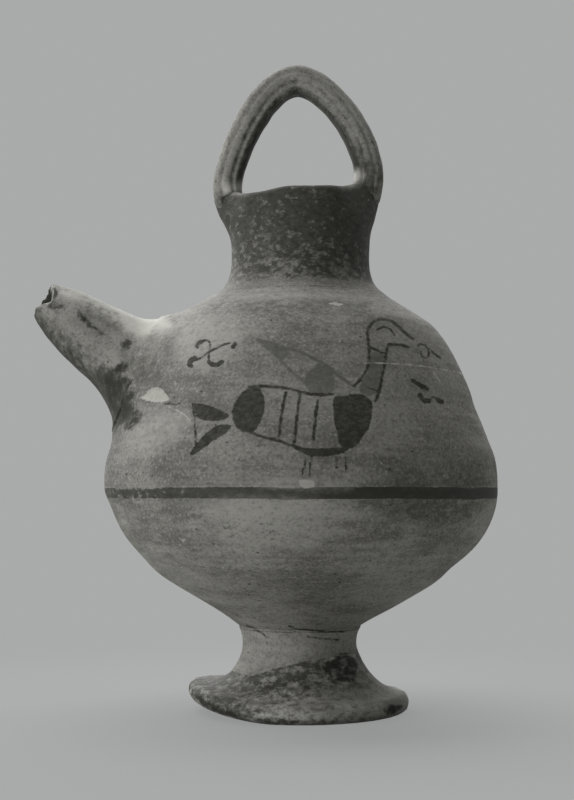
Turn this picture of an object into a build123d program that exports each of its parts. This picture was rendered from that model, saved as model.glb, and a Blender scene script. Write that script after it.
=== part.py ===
from build123d import *
import os

# Askos: a thrown, footed jar with a side spout and a basket handle over its mouth.
# It is built as a potter builds it: thrown and rolled pieces of clay, joined by thin layers of luting slip.
# Millimetres, +Z up. The origin is on the resting plane, under the middle of the foot.
# The spout points to -X, and the arch of the handle stands in the XZ plane.

# Clay walls, the slip between the pieces, and the steps in which slip follows the shoulder
BODY_WALL = 5.0
NECK_WALL = 4.6
LUTE = 0.8
SLIP_STEPS = 8

# Foot: a flared plate under a short stem, hollowed from below; heights are from the resting plane
FOOT_RADIUS = 39.5
FOOT_EDGE_HEIGHT = 3.6
FOOT_UNDERCUT = 2.5
REST_WIDTH = 7.0
PLATE_TOP_INSET = 3.9
PLATE_TOP_HEIGHT = 7.0
FLARE_RADIUS = 26.4
FLARE_HEIGHT = 12.6
STEM_RADIUS = 21.0
STEM_WAIST_HEIGHT = 24.4
STEM_TOP_RADIUS = 22.2
STEM_TOP_HEIGHT = 30.4
HOLLOW_THROAT_RADIUS = 13.0
HOLLOW_THROAT_HEIGHT = 11.5
HOLLOW_HEIGHT = 21.0

# Old break across the stem, as (x, height) from left to right, and the mender's fill in it
BREAK_LEFT = (-17.0, 14.6)
BREAK_RISE = (-9.0, 17.6)
BREAK_CREST = (2.0, 20.4)
BREAK_RIGHT = (13.0, 21.6)
MEND = 0.6

# Bowl: the lower half of the body; its rises are from its seat on the stem
BOWL_FLOOR = 6.0
BOWL_RADIUS = 58.0
BOWL_RISE = 23.6
BELLY_RADIUS = 71.6
BELLY_RISE = 50.4

# Shoulder: the upper half of the body; its rises are from its seat on the bowl
SHOULDER_RADIUS = 63.3
SHOULDER_RISE = 30.2
SHOULDER_TOP_RADIUS = 46.5
SHOULDER_TOP_RISE = 58.8
SHOULDER_SEAT_RISE = 69.0
SHOULDER_EDGE = 3.2

# Neck: a waisted collar with a rounded lip; its rises are from its base
NECK_BASE_RADIUS = 29.8
NECK_WAIST_RADIUS = 25.2
NECK_WAIST_RISE = 16.2
RIM_RADIUS = 27.6
RIM_RISE = 33.8
LIP_ROUND = 1.7

# Spout: a tapered tube that flares onto the shoulder; its lengths are along its axis from the mouth
SPOUT_OVERHANG = 30.7
SPOUT_MOUTH_RISE = 67.6
SPOUT_RISE_ANGLE = 36.5
SPOUT_MOUTH_RADIUS = 6.8
SPOUT_SWELL_RADIUS = 12.3
SPOUT_SWELL_LENGTH = 18.0
SPOUT_SHANK_RADIUS = 15.2
SPOUT_SHANK_LENGTH = 31.0
SPOUT_ROOT_RADIUS = 20.4
SPOUT_ROOT_LENGTH = 43.5
SPOUT_FLARE_RADIUS = 29.0
SPOUT_FLARE_LENGTH = 53.0
SPOUT_LIP_ROUND = 0.9
SPOUT_MOUTH_BORE = 8.4
SPOUT_ROOT_BORE = 15.0
SPOUT_BORE_LENGTH = 60.0

# Handle: a fluted roll of clay in an arch on the rim, its ends lapped down the outside of the neck
HANDLE_THICKNESS = 10.4
HANDLE_DEPTH = 12.6
HANDLE_ROUND = 4.4
HANDLE_TOE_INSET = 5.3
HANDLE_TOE_DROP = 15.4
HANDLE_KNEE_RISE = 4.0
HANDLE_HAUNCH_INSET = 7.6
HANDLE_HAUNCH_RISE = 29.4
HANDLE_CROWN_RISE = 43.7
FLUTE_RADIUS = 1.9
FLUTE_DEPTH = 0.7
FLUTE_SPACING = 4.8
SMEAR_WIDTH = 19.0
SMEAR_DROP = 3.0

# Directions of the outline where two pieces meet, as (outward, upward)
UPRIGHT = (0, 1)
LEVEL = (1, 0)
PLATE_SLOPE = (-0.97, 0.24)
STEM_TOP_SLOPE = (0.42, 0.91)
HOLLOW_SLOPE = (0.90, -0.43)
BOWL_FOOT_SLOPE = (0.80, 0.60)
NECK_FOOT_SLOPE = (-0.84, 0.54)
NECK_HOLE_SLOPE = (-0.50, 0.87)
RIM_SLOPE = (0.30, 0.95)

# Heights and radii where the pieces meet
bowl_seat = STEM_TOP_HEIGHT + LUTE
belly_height = bowl_seat + BELLY_RISE
shoulder_base = belly_height + LUTE
neck_seat = shoulder_base + SHOULDER_SEAT_RISE
neck_seat_radius = NECK_BASE_RADIUS - LUTE * NECK_FOOT_SLOPE[0] / NECK_FOOT_SLOPE[1]
neck_base = neck_seat + LUTE
neck_hole = NECK_BASE_RADIUS - NECK_WALL
rim_height = neck_base + RIM_RISE
mouth_radius = RIM_RADIUS - NECK_WALL
leg_span = RIM_RADIUS - NECK_WALL / 2
far = 2 * rim_height


def face_of(*edges):
    """The face inside a closed run of edges."""
    return make_face(Curve() + list(edges))


def turned(face):
    """A body thrown on the wheel: a face drawn as (radius, height), turned once about the Z axis."""
    return revolve(Plane.YZ * face, Axis.Z)


def beside(outline, share, distance):
    """The point at a share of an outline's length and a distance inside it, if it is drawn upwards."""
    return outline @ share + (outline % share).rotate(Axis.Z, 90) * distance


def core(outline):
    """The face between an outline that is drawn upwards and the Z axis."""
    foot, head = outline @ 0, outline @ 1
    axis = Line((0, head.Y), (0, foot.Y))
    return face_of(outline, Line(head, axis @ 0), axis, Line(axis @ 1, foot))


def slip_ring(inner, low_outer, high_outer, low):
    """A flat ring of slip between two pieces, its outside sloped to follow theirs."""
    high = low + LUTE
    return turned(Polygon((inner, low), (low_outer, low), (high_outer, high), (inner, high), align=None))


def whole_foot():
    """Plate and stem together, as they were before the break: a flared foot with a hollow under it."""
    rest = Line((FOOT_RADIUS - FOOT_UNDERCUT - REST_WIDTH, 0), (FOOT_RADIUS - FOOT_UNDERCUT, 0))
    plate_top = (FOOT_RADIUS - PLATE_TOP_INSET, PLATE_TOP_HEIGHT)
    edge = ThreePointArc(rest @ 1, (FOOT_RADIUS, FOOT_EDGE_HEIGHT), plate_top)
    outside = Spline(
        plate_top,
        (FLARE_RADIUS, FLARE_HEIGHT),
        (STEM_RADIUS, STEM_WAIST_HEIGHT),
        (STEM_TOP_RADIUS, STEM_TOP_HEIGHT),
        tangents=(PLATE_SLOPE, STEM_TOP_SLOPE),
    )
    top = Line(outside @ 1, (0, STEM_TOP_HEIGHT))
    axis = Line(top @ 1, (0, HOLLOW_HEIGHT))
    hollow = Spline(
        axis @ 1,
        (HOLLOW_THROAT_RADIUS, HOLLOW_THROAT_HEIGHT),
        rest @ 0,
        tangents=(LEVEL, HOLLOW_SLOPE),
    )
    return turned(face_of(rest, edge, outside, top, axis, hollow))


def below_break(lift):
    """All the space below the old break, with its surface lifted by an amount."""
    crack = [(x, height + lift) for x, height in (BREAK_LEFT, BREAK_RISE, BREAK_CREST, BREAK_RIGHT)]
    left, right = (-far, crack[0][1]), (far, crack[-1][1])
    side = Polygon((-far, -far), (far, -far), right, *reversed(crack), left, align=None)
    return extrude(Plane.XZ * side, far, both=True)


def bowl():
    """The lower half of the body: a closed floor, and a wall up to the belly."""
    bulge = (BOWL_RADIUS, bowl_seat + BOWL_RISE)
    outside = Spline(
        (STEM_TOP_RADIUS, bowl_seat), bulge, (BELLY_RADIUS, belly_height), tangents=(BOWL_FOOT_SLOPE, UPRIGHT)
    )
    hollow = Spline(
        (0, bowl_seat + BOWL_FLOOR),
        beside(outside, outside.param_at_point(bulge), BODY_WALL),
        (BELLY_RADIUS - BODY_WALL, belly_height),
        tangents=(LEVEL, UPRIGHT),
    )
    axis = Line(hollow @ 0, (0, bowl_seat))
    return turned(face_of(outside, Line(outside @ 1, hollow @ 1), hollow, axis, Line(axis @ 1, outside @ 0)))


def shoulder_outline():
    """The outside of the shoulder, from the belly to the neck."""
    return Spline(
        (BELLY_RADIUS, shoulder_base),
        (SHOULDER_RADIUS, shoulder_base + SHOULDER_RISE),
        (SHOULDER_TOP_RADIUS, shoulder_base + SHOULDER_TOP_RISE),
        (neck_seat_radius, neck_seat),
        tangents=(UPRIGHT, NECK_FOOT_SLOPE),
    )


def shoulder():
    """The upper half of the body, before the spout's hole is cut."""
    outside = shoulder_outline()
    low_share = outside.param_at_point((SHOULDER_RADIUS, shoulder_base + SHOULDER_RISE))
    high_share = outside.param_at_point((SHOULDER_TOP_RADIUS, shoulder_base + SHOULDER_TOP_RISE))
    hollow = Spline(
        (BELLY_RADIUS - BODY_WALL, shoulder_base),
        beside(outside, low_share, BODY_WALL),
        beside(outside, high_share, BODY_WALL),
        (neck_hole, neck_seat - SHOULDER_EDGE),
        tangents=(UPRIGHT, NECK_FOOT_SLOPE),
    )
    hole = Line(hollow @ 1, (neck_hole, neck_seat))
    return turned(face_of(outside, Line(outside @ 1, hole @ 1), hole, hollow, Line(hollow @ 0, outside @ 0)))


def neck_outline(growth):
    """The outside of the neck, from its base to the rim, moved outwards by an amount."""
    return Spline(
        (NECK_BASE_RADIUS + growth, neck_base),
        (NECK_WAIST_RADIUS + growth, neck_base + NECK_WAIST_RISE),
        (RIM_RADIUS + growth, rim_height + growth),
        tangents=(NECK_FOOT_SLOPE, RIM_SLOPE),
    )


def neck_wall():
    """The section of the collar round the mouth, its lip rounded on both sides."""
    outside = neck_outline(0)
    hollow = Spline(
        (neck_hole, neck_base),
        (NECK_WAIST_RADIUS - NECK_WALL, neck_base + NECK_WAIST_RISE),
        (mouth_radius, rim_height),
        tangents=(NECK_HOLE_SLOPE, RIM_SLOPE),
    )
    wall = face_of(outside, Line(outside @ 1, hollow @ 1), hollow, Line(hollow @ 0, outside @ 0))
    return fillet(wall.vertices().group_by(Axis.Y)[-1], LIP_ROUND)


def coated_neck():
    """The section of the neck without a hollow, grown by a layer of slip, with its lip rounded."""
    form = core(neck_outline(LUTE))
    lip = form.vertices().group_by(Axis.Y)[-1].sort_by(Axis.X)[-1]
    return fillet(lip, LIP_ROUND + LUTE)


def spout_frame():
    """A frame at the spout's mouth, its Z axis running down the spout into the body."""
    inward = Vector(1, 0, 0).rotate(Axis.Y, SPOUT_RISE_ANGLE)
    mouth = (-SHOULDER_RADIUS - SPOUT_OVERHANG, 0, shoulder_base + SPOUT_MOUTH_RISE)
    return Plane(origin=mouth, x_dir=(0, 1, 0), z_dir=inward)


def spout_core():
    """The outside of the spout without its bore, run on into the body."""
    outside = Spline(
        (SPOUT_MOUTH_RADIUS, 0),
        (SPOUT_SWELL_RADIUS, SPOUT_SWELL_LENGTH),
        (SPOUT_SHANK_RADIUS, SPOUT_SHANK_LENGTH),
        (SPOUT_ROOT_RADIUS, SPOUT_ROOT_LENGTH),
        (SPOUT_FLARE_RADIUS, SPOUT_FLARE_LENGTH),
    )
    form = core(outside)
    lip = form.vertices().group_by(Axis.Y)[0].sort_by(Axis.X)[-1]
    return spout_frame() * turned(fillet(lip, SPOUT_LIP_ROUND))


def spout_bore():
    """The tapered way through the spout, and on through the shoulder's wall."""
    from_mouth = (Align.CENTER, Align.CENTER, Align.MIN)
    way = Cone(SPOUT_MOUTH_BORE / 2, SPOUT_ROOT_BORE / 2, SPOUT_BORE_LENGTH, align=from_mouth)
    return spout_frame() * way


def handle_section():
    """A rounded bar, as (depth, thickness), with two flutes down its front and two down its back."""
    bar = RectangleRounded(HANDLE_DEPTH, HANDLE_THICKNESS, HANDLE_ROUND)
    flute_span = HANDLE_DEPTH + 2 * (FLUTE_RADIUS - FLUTE_DEPTH)
    return bar - GridLocations(flute_span, FLUTE_SPACING, 2, 2) * Circle(FLUTE_RADIUS)


def handle_arch():
    """The whole arch of the handle, its ends run on into the neck."""
    side = [
        (leg_span - HANDLE_TOE_INSET, rim_height - HANDLE_TOE_DROP),
        (leg_span, rim_height + HANDLE_KNEE_RISE),
        (leg_span - HANDLE_HAUNCH_INSET, rim_height + HANDLE_HAUNCH_RISE),
    ]
    left = [(-span, 0, height) for span, height in side]
    right = [(span, 0, height) for span, height in reversed(side)]
    path = Spline(*left, (0, 0, rim_height + HANDLE_CROWN_RISE), *right)
    start = Plane(origin=path @ 0, x_dir=(0, 1, 0), z_dir=path % 0)
    return sweep(start * handle_section(), path)


def neck_coat():
    """A layer of slip all over the outside and the lip of the neck."""
    mouth = Pos(0, rim_height) * Rectangle(2 * mouth_radius, far)
    return turned(coated_neck() - neck_wall() - mouth)


def handle_luting(side, arch, coat):
    """The slip under one end of the handle, smeared along the lip: side is -1 for left and 1 for right."""
    half = Pos(side * far / 2, 0, far / 2) * Box(far, far, 2 * far)
    smear = Pos(side * leg_span, 0, rim_height) * Box(2 * NECK_WALL, SMEAR_WIDTH, 2 * SMEAR_DROP)
    return coat & ((arch & half) + smear)


foot = whole_foot()
bore = spout_bore()
spout_blank = spout_core()
shoulder_face = shoulder_outline()
slip_face = Spline(*[beside(shoulder_face, step / SLIP_STEPS, -LUTE) for step in range(SLIP_STEPS + 1)])
spout_slip = spout_blank & turned(core(slip_face))
arch = handle_arch()
slip_coat = neck_coat()

pieces = {
    "foot_plate": foot & below_break(0),
    "foot_mend": (foot & below_break(MEND)) - below_break(0),
    "foot_stem": foot - below_break(MEND),
    "stem_luting": slip_ring(0, STEM_TOP_RADIUS, STEM_TOP_RADIUS, STEM_TOP_HEIGHT),
    "lower_body": bowl(),
    "belly_luting": slip_ring(BELLY_RADIUS - BODY_WALL, BELLY_RADIUS, BELLY_RADIUS, belly_height),
    "upper_body": shoulder() - bore,
    "spout_luting": spout_slip - turned(core(shoulder_face)) - bore,
    "spout": spout_blank - spout_slip - bore,
    "neck_luting": slip_ring(neck_hole, neck_seat_radius, NECK_BASE_RADIUS, neck_seat),
    "neck": turned(neck_wall()),
    "handle": arch - turned(coated_neck()),
    "handle_luting_left": handle_luting(-1, arch, slip_coat),
    "handle_luting_right": handle_luting(1, arch, slip_coat),
}

os.makedirs("parts", exist_ok=True)
for node, piece in pieces.items():
    export_step(piece, f"parts/{node}.step")
    print(node, round(piece.volume / 1000, 2), "cm3")
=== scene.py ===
# %% [markdown]
# # An askos: a spouted jug with a basket handle
# An askos is a small wheel-thrown jug for oil or wine, with a spout on its shoulder and an arched handle
# over its mouth. This one has lost most of its dark coat, and a bird is painted on its front. The lesson
# takes the exact CAD model as a fixed frame, then gives each piece the uneven shape and the worn surface of
# real pottery.

import math

import bmesh
import bpy
import numpy as np
from mathutils import Matrix, Vector
from mathutils.bvhtree import BVHTree


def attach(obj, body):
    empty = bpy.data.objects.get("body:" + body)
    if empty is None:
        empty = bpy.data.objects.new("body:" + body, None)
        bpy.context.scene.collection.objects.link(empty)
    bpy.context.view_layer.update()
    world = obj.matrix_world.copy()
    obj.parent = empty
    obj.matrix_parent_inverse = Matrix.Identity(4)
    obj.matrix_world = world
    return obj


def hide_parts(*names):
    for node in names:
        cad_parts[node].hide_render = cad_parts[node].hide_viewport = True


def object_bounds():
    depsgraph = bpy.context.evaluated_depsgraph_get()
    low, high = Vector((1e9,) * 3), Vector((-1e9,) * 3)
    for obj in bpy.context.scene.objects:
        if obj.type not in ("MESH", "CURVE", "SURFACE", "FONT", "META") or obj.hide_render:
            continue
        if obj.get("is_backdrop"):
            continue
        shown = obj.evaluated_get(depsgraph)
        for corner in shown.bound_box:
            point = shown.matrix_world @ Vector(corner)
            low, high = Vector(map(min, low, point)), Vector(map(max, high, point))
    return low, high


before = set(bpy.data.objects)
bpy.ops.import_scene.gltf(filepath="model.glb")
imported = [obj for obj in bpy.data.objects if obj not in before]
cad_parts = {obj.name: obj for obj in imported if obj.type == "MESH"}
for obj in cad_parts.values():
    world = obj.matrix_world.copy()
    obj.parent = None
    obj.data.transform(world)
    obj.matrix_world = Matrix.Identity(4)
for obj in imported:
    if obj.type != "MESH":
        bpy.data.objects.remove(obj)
cad_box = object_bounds()
scene = bpy.context.scene
scene.view_settings.view_transform = "Standard"
MM = 0.001
print("CAD nodes:", ", ".join(sorted(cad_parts)))

# %% [markdown]
# ## The camera
# The photograph was taken from the front at the height of the belly, with the camera level and its frame
# raised. The raised frame is what Blender calls shift. The camera could be tilted up instead, but then the
# upright sides of the jug would lean. The same few numbers also tell where a point of the jug falls in the
# photograph, which the painting uses later on.

# %% Set up the camera
# Pixels of the photograph: its size, and where the jug's axis meets the height of the camera
PHOTO_WIDTH, PHOTO_HEIGHT = 574, 800
AXIS_ACROSS, AXIS_DOWN = 300.3, 494.0
FOCAL_PIXELS = 1500.0
# Millimetres
CAMERA_DISTANCE, CAMERA_HEIGHT = 548.0, 78.9
SENSOR_WIDTH, NEAR_CLIP = 36.0, 10.0

camera = bpy.data.objects.new("camera", bpy.data.cameras.new("camera"))
scene.collection.objects.link(camera)
scene.camera = camera
camera.location = (0, -CAMERA_DISTANCE * MM, CAMERA_HEIGHT * MM)
camera.rotation_euler = (math.radians(90), 0, 0)
camera.data.sensor_width = SENSOR_WIDTH
camera.data.lens = FOCAL_PIXELS * SENSOR_WIDTH / PHOTO_HEIGHT
camera.data.shift_x = (PHOTO_WIDTH / 2 - AXIS_ACROSS) / PHOTO_HEIGHT
camera.data.shift_y = (AXIS_DOWN - PHOTO_HEIGHT / 2) / PHOTO_HEIGHT
camera.data.clip_start = NEAR_CLIP * MM


def in_photo(points):
    """Where points, in mm, fall in the photograph, in pixels across and down."""
    x, y, z = points.T
    scale = FOCAL_PIXELS / (CAMERA_DISTANCE + y)
    return AXIS_ACROSS + scale * x, AXIS_DOWN - scale * (z - CAMERA_HEIGHT)


print("lens:", round(camera.data.lens, 1), "mm, shift:", round(camera.data.shift_y, 3))

# %% [markdown]
# ## Nodes, colours and ramps
# A material in Blender is a small tree of nodes. One helper adds any node, sets its properties and links or
# fills its sockets. Colours are written as sRGB hex values, as a colour picker shows them, and turned to
# the linear values that the renderer works with. The scale of a pattern is worked out from its real size in
# millimetres. A ramp does for all vertices of a mesh what a Map Range node does in a material: it goes from
# 0 to 1 between two limits.

# %% Small helpers


def add(tree, kind, settings=None, sockets=None):
    """Adds a node with its settings; a socket is given a value, or another node's output to link."""
    node = tree.nodes.new(kind)
    for name, value in (settings or {}).items():
        setattr(node, name, value)
    for name, value in (sockets or {}).items():
        if isinstance(value, bpy.types.NodeSocket):
            tree.links.new(value, node.inputs[name])
        else:
            node.inputs[name].default_value = value
    return node


def linear(hex_colour):
    """An sRGB hex colour as linear red, green, blue and alpha."""
    shares = [int(hex_colour[i : i + 2], 16) / 255 for i in (1, 3, 5)]
    return [s / 12.92 if s <= 0.04045 else ((s + 0.055) / 1.055) ** 2.4 for s in shares] + [1.0]


def per_size(size):
    """The scale of a texture whose marks are about this many mm wide."""
    return 1 / (size * MM)


def new_material(name):
    """A material with an empty tree, and that tree."""
    material = bpy.data.materials.new(name)
    material.use_nodes = True
    material.node_tree.nodes.clear()
    return material, material.node_tree


def ramp(value, start, end):
    """0 before a start, 1 past an end, and even between them; the end may be lower than the start."""
    return np.clip((value - start) / (end - start), 0, 1)


def rising(value, start, end):
    """A ramp that starts and ends softly."""
    share = ramp(value, start, end)
    return share**2 * (3 - 2 * share)


print("linear value of mid grey:", round(linear("#808080")[0], 3))

# %% [markdown]
# ## Floor and studio light
# The jug stands on a plain pale sheet that runs back without a horizon. A sheet that is only lit would
# darken with distance, so for the camera it is mostly its own even grey, and a small share of true diffuse
# light keeps the shadow under the foot. A wide lamp high behind the jug lights its shoulder as a window
# does, a smaller soft one at the front left models the form, and a low even light fills the rest.

# %% Choose the floor and the lights
# The even grey behind the jug, the sheet where the camera sees it lit, and the sheet as it throws light back
BACKGROUND = "#A9ABAA"
FLOOR_SHOWN = "#8A8C8B"
FLOOR_BOUNCE = "#A6A7A5"
# Metres: the floor, where the shadow on it fades, and the lamps, whose power is in watts
FLOOR_RADIUS, FLOOR_SIDES = 4.0, 96
SHADOW_NEAR, SHADOW_FAR, SHADOW_SHARE = 0.06, 0.26, 0.3
LAMPS = {
    "window": dict(place=Vector((-0.255, 0.70, 1.175)), size=2.0, power=58.0),
    "front_lamp": dict(place=Vector((-1.09, -0.71, 0.17)), size=0.8, power=14.5),
}
LAMP_TARGET = Vector((0, 0, 0.11))
FILL_COLOUR = "#F4F6F3"
FILL_STRENGTH = 0.20


def seen_directly(tree):
    """A socket that is 1 for rays that the camera, a gloss or a glass sends out."""
    path = add(tree, "ShaderNodeLightPath").outputs
    seen = path["Is Camera Ray"]
    for kind in ("Is Glossy Ray", "Is Transmission Ray"):
        seen = add(tree, "ShaderNodeMath", {"operation": "MAXIMUM"}, {0: seen, 1: path[kind]}).outputs[0]
    return seen


def paper_sheet():
    """Matt paper: an even pale grey that only darkens a little in a shadow close to the foot."""
    material, tree = new_material("matt_paper")
    place = add(tree, "ShaderNodeTexCoord")
    reach = add(tree, "ShaderNodeVectorMath", {"operation": "LENGTH"}, {0: place.outputs["Object"]})
    fade = add(tree, "ShaderNodeMapRange", {"interpolation_type": "SMOOTHSTEP"},
               {"Value": reach.outputs["Value"], "From Min": SHADOW_NEAR, "From Max": SHADOW_FAR,
                "To Min": 1 - SHADOW_SHARE, "To Max": 1.0})
    lit = add(tree, "ShaderNodeBsdfDiffuse", sockets={"Color": linear(FLOOR_SHOWN)})
    bounce = add(tree, "ShaderNodeBsdfDiffuse", sockets={"Color": linear(FLOOR_BOUNCE)})
    even = add(tree, "ShaderNodeEmission", sockets={"Color": linear(BACKGROUND)})
    shown = add(tree, "ShaderNodeMixShader",
                sockets={0: fade.outputs[0], 1: lit.outputs[0], 2: even.outputs[0]})
    both = add(tree, "ShaderNodeMixShader",
               sockets={0: seen_directly(tree), 1: bounce.outputs[0], 2: shown.outputs[0]})
    add(tree, "ShaderNodeOutputMaterial", sockets={"Surface": both.outputs[0]})
    return material


print("the shadow fades over", SHADOW_FAR - SHADOW_NEAR, "m of floor")

# %% Lay the floor and hang the lamps
sheet = bmesh.new()
bmesh.ops.create_circle(sheet, cap_ends=True, radius=FLOOR_RADIUS, segments=FLOOR_SIDES)
floor_mesh = bpy.data.meshes.new("floor")
sheet.to_mesh(floor_mesh)
sheet.free()
floor_mesh.materials.append(paper_sheet())
floor = bpy.data.objects.new("floor", floor_mesh)
scene.collection.objects.link(floor)
floor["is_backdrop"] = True

for name, lamp in LAMPS.items():
    light = bpy.data.objects.new(name, bpy.data.lights.new(name, "AREA"))
    scene.collection.objects.link(light)
    light.location = lamp["place"]
    light.rotation_euler = (LAMP_TARGET - lamp["place"]).to_track_quat("-Z", "Y").to_euler()
    light.data.size = lamp["size"]
    light.data.energy = lamp["power"]
    light.visible_camera = False

world = bpy.data.worlds.new("studio")
scene.world = world
world.use_nodes = True
world.node_tree.nodes.clear()
fill = add(world.node_tree, "ShaderNodeBackground",
           sockets={"Color": linear(FILL_COLOUR), "Strength": FILL_STRENGTH})
beyond = add(world.node_tree, "ShaderNodeBackground", sockets={"Color": linear(BACKGROUND)})
sky = add(world.node_tree, "ShaderNodeMixShader",
          sockets={0: seen_directly(world.node_tree), 1: fill.outputs[0], 2: beyond.outputs[0]})
add(world.node_tree, "ShaderNodeOutputWorld", sockets={"Surface": sky.outputs[0]})
print("lamps:", ", ".join(LAMPS))

# %% [markdown]
# ## The brushwork
# The painter drew a water bird with a lifted wing, and small scrolls beside it, in one dark slip. A picture
# could carry the painting, but it would need a file and would blur close up. Here each brush line and each
# filled shape is a short list of points, given where it falls in the photograph. Every vertex of the wall
# gets its distance to the nearest brush mark, in millimetres, as an attribute. The material turns that
# distance into paint, so that the edge of a mark stays crisp however coarse the mesh is.

# %% Draw the bird
BIRD_LINES = {
    "head_and_nape": [(354, 386), (360, 380), (366, 372), (369, 362), (369, 350), (368, 340), (367, 332),
                      (369, 326), (374, 321), (381, 319), (390, 320), (397, 325), (404, 332), (413, 339)],
    "bill_and_throat": [(408, 347), (400, 345), (390, 344), (387, 346), (386, 354), (385, 362), (383, 372),
                        (381, 384), (379, 392), (376, 401)],
    "back": [(249, 387), (262, 386), (276, 387), (287, 388), (298, 391), (309, 394), (320, 395),
             (333, 394)],
    "belly": [(243, 430), (255, 434), (265, 438), (278, 440), (290, 445), (300, 448)],
    "first_stripe": [(286, 393), (283, 405), (281, 417), (280, 430), (278, 440)],
    "second_stripe": [(300, 393), (299, 402), (297, 415), (296, 428), (294, 443)],
    "third_stripe": [(318, 400), (316, 412), (315, 425), (313, 440)],
}
WING_LINES = {
    "wing_front": [(292, 349), (306, 354), (318, 361), (327, 366), (334, 371), (341, 378), (350, 384),
                   (355, 387)],
    "wing_back": [(279, 359), (288, 368), (295, 375), (304, 381), (310, 388)],
}
BIRD_FILLS = {
    "breast": [(333, 398), (337, 395), (345, 396), (350, 395), (357, 394), (363, 394), (370, 399),
               (373, 405), (372, 413), (371, 420), (369, 428), (365, 434), (361, 440), (357, 446),
               (352, 449), (345, 449), (339, 445), (338, 437), (336, 428), (334, 418), (333, 408)],
    "rump": [(231, 417), (233, 405), (239, 395), (249, 387), (258, 387), (263, 393), (265, 403),
             (263, 416), (258, 427), (253, 432), (244, 433), (236, 428)],
    "upper_tail": [(191, 403), (200, 403), (213, 407), (225, 412), (231, 416), (222, 421), (211, 421),
                   (197, 420)],
    "lower_tail": [(232, 424), (219, 425), (209, 429), (199, 439), (193, 447), (187, 457), (199, 452),
                   (209, 443), (220, 437), (230, 430)],
    "keel": [(291, 446), (300, 447), (318, 449), (330, 448), (338, 447), (352, 448), (345, 452),
             (333, 456), (320, 457), (307, 456), (298, 451)],
}
THIN_FILLS = {
    "wing_tip": [(253, 337), (266, 340), (280, 345), (297, 350), (290, 354), (285, 358), (281, 362),
                 (272, 353), (263, 347)],
    "wing_root": [(303, 381), (308, 373), (314, 367), (320, 362), (327, 366), (333, 372), (335, 382),
                  (334, 393), (320, 395), (310, 393), (306, 386)],
    "neck_fill": [(370, 350), (386, 354), (384, 372), (379, 395), (362, 396), (358, 386), (368, 372)],
}
print("lines and shapes of the bird:", len(BIRD_LINES) + len(WING_LINES) + len(BIRD_FILLS) + len(THIN_FILLS))

# %% Draw the fine lines and the scrolls
THIN_LINES = {
    "eye": [(377, 330), (381, 327), (387, 327), (392, 331), (394, 335)],
    "nape_ring": [(370, 347), (376, 350), (386, 354)],
    "neck_foot": [(366, 387), (373, 389), (380, 392)],
    "near_leg": [(306, 455), (305, 464), (302, 475)],
    "near_leg_back": [(312, 456), (310, 466), (309, 477)],
    "far_leg": [(337, 454), (337, 468)],
    "far_leg_front": [(346, 453), (346, 472)],
    "tail_edge": [(192, 404), (194, 420), (195, 446)],
    "scroll_falling": [(200, 342), (205, 340), (210, 341), (210, 348), (209, 354), (208, 358), (210, 362)],
    "scroll_rising": [(230, 343), (222, 345), (217, 348), (211, 351), (206, 354), (201, 358), (196, 360)],
    "bill_scroll": [(418, 345), (423, 344), (428, 349), (429, 355), (425, 359), (421, 356), (420, 351)],
    "bill_scroll_end": [(431, 351), (435, 355), (440, 358)],
    "breast_scroll_bridge": [(429, 401), (432, 399), (434, 396), (438, 399)],
}
THICK_LINES = {
    "scroll_head": [(197, 346), (198, 343), (201, 342)],
    "scroll_tail": [(209, 362), (213, 365), (217, 365), (222, 362)],
    "scroll_right_dab": [(233, 347), (235, 344)],
    "scroll_left_hook": [(195, 358), (191, 360), (189, 364), (191, 366)],
    "breast_dash": [(413, 381), (417, 383), (422, 386), (427, 389)],
    "breast_hook": [(421, 395), (422, 398), (426, 401), (430, 401)],
    "breast_hook_end": [(439, 400), (443, 402)],
}
print("fine lines and scrolls:", len(THIN_LINES) + len(THICK_LINES))

# %% Measure the distance to a mark
# Millimetres: a pixel of the photograph on the wall, half the width of each brush, and far from any mark
PIXEL = 0.34
BRUSH, FINE_BRUSH, BROAD_BRUSH = 0.52, 0.36, 0.80
FAR_AWAY = 1e3
# How often a drawn line has its corners cut, and how much of each side a cut takes
CORNER_ROUNDS, CORNER_CUT = 2, 0.25
# Keeps a division away from zero
TINY = 1e-6


def eased(points, closed):
    """A hand's smooth line through the points: their corners are cut, and the new corners again."""
    line = np.array(points, float)
    for _ in range(CORNER_ROUNDS):
        behind = line if closed else line[:-1]
        run = np.roll(line, -1, axis=0) - line if closed else np.diff(line, axis=0)
        cut = np.stack([behind + CORNER_CUT * run, behind + (1 - CORNER_CUT) * run], axis=1).reshape(-1, 2)
        line = cut if closed else np.vstack([line[:1], cut, line[-1:]])
    return line


def line_distance(across, down, line):
    """Distance in pixels from each place to a line of points."""
    nearest = np.full(len(across), np.inf)
    for start, end in zip(line[:-1], line[1:]):
        run = end - start
        from_start = across - start[0], down - start[1]
        share = np.clip((from_start[0] * run[0] + from_start[1] * run[1]) / max(run @ run, TINY), 0, 1)
        gap = np.hypot(from_start[0] - share * run[0], from_start[1] - share * run[1])
        nearest = np.minimum(nearest, gap)
    return nearest


def fill_distance(across, down, outline):
    """Distance in pixels from each place to a filled shape: below zero inside it."""
    ring = np.vstack([outline, outline[:1]])
    inside = np.zeros(len(across), bool)
    for (x0, y0), (x1, y1) in zip(ring[:-1], ring[1:]):
        if y0 != y1:
            inside ^= ((y0 > down) != (y1 > down)) & (across < x0 + (down - y0) / (y1 - y0) * (x1 - x0))
    return np.where(inside, -1, 1) * line_distance(across, down, ring)


def brushed(lines, half_width):
    """Pairs of each line's points and half the width of the brush that draws them."""
    return [(points, half_width) for points in lines.values()]


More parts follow.
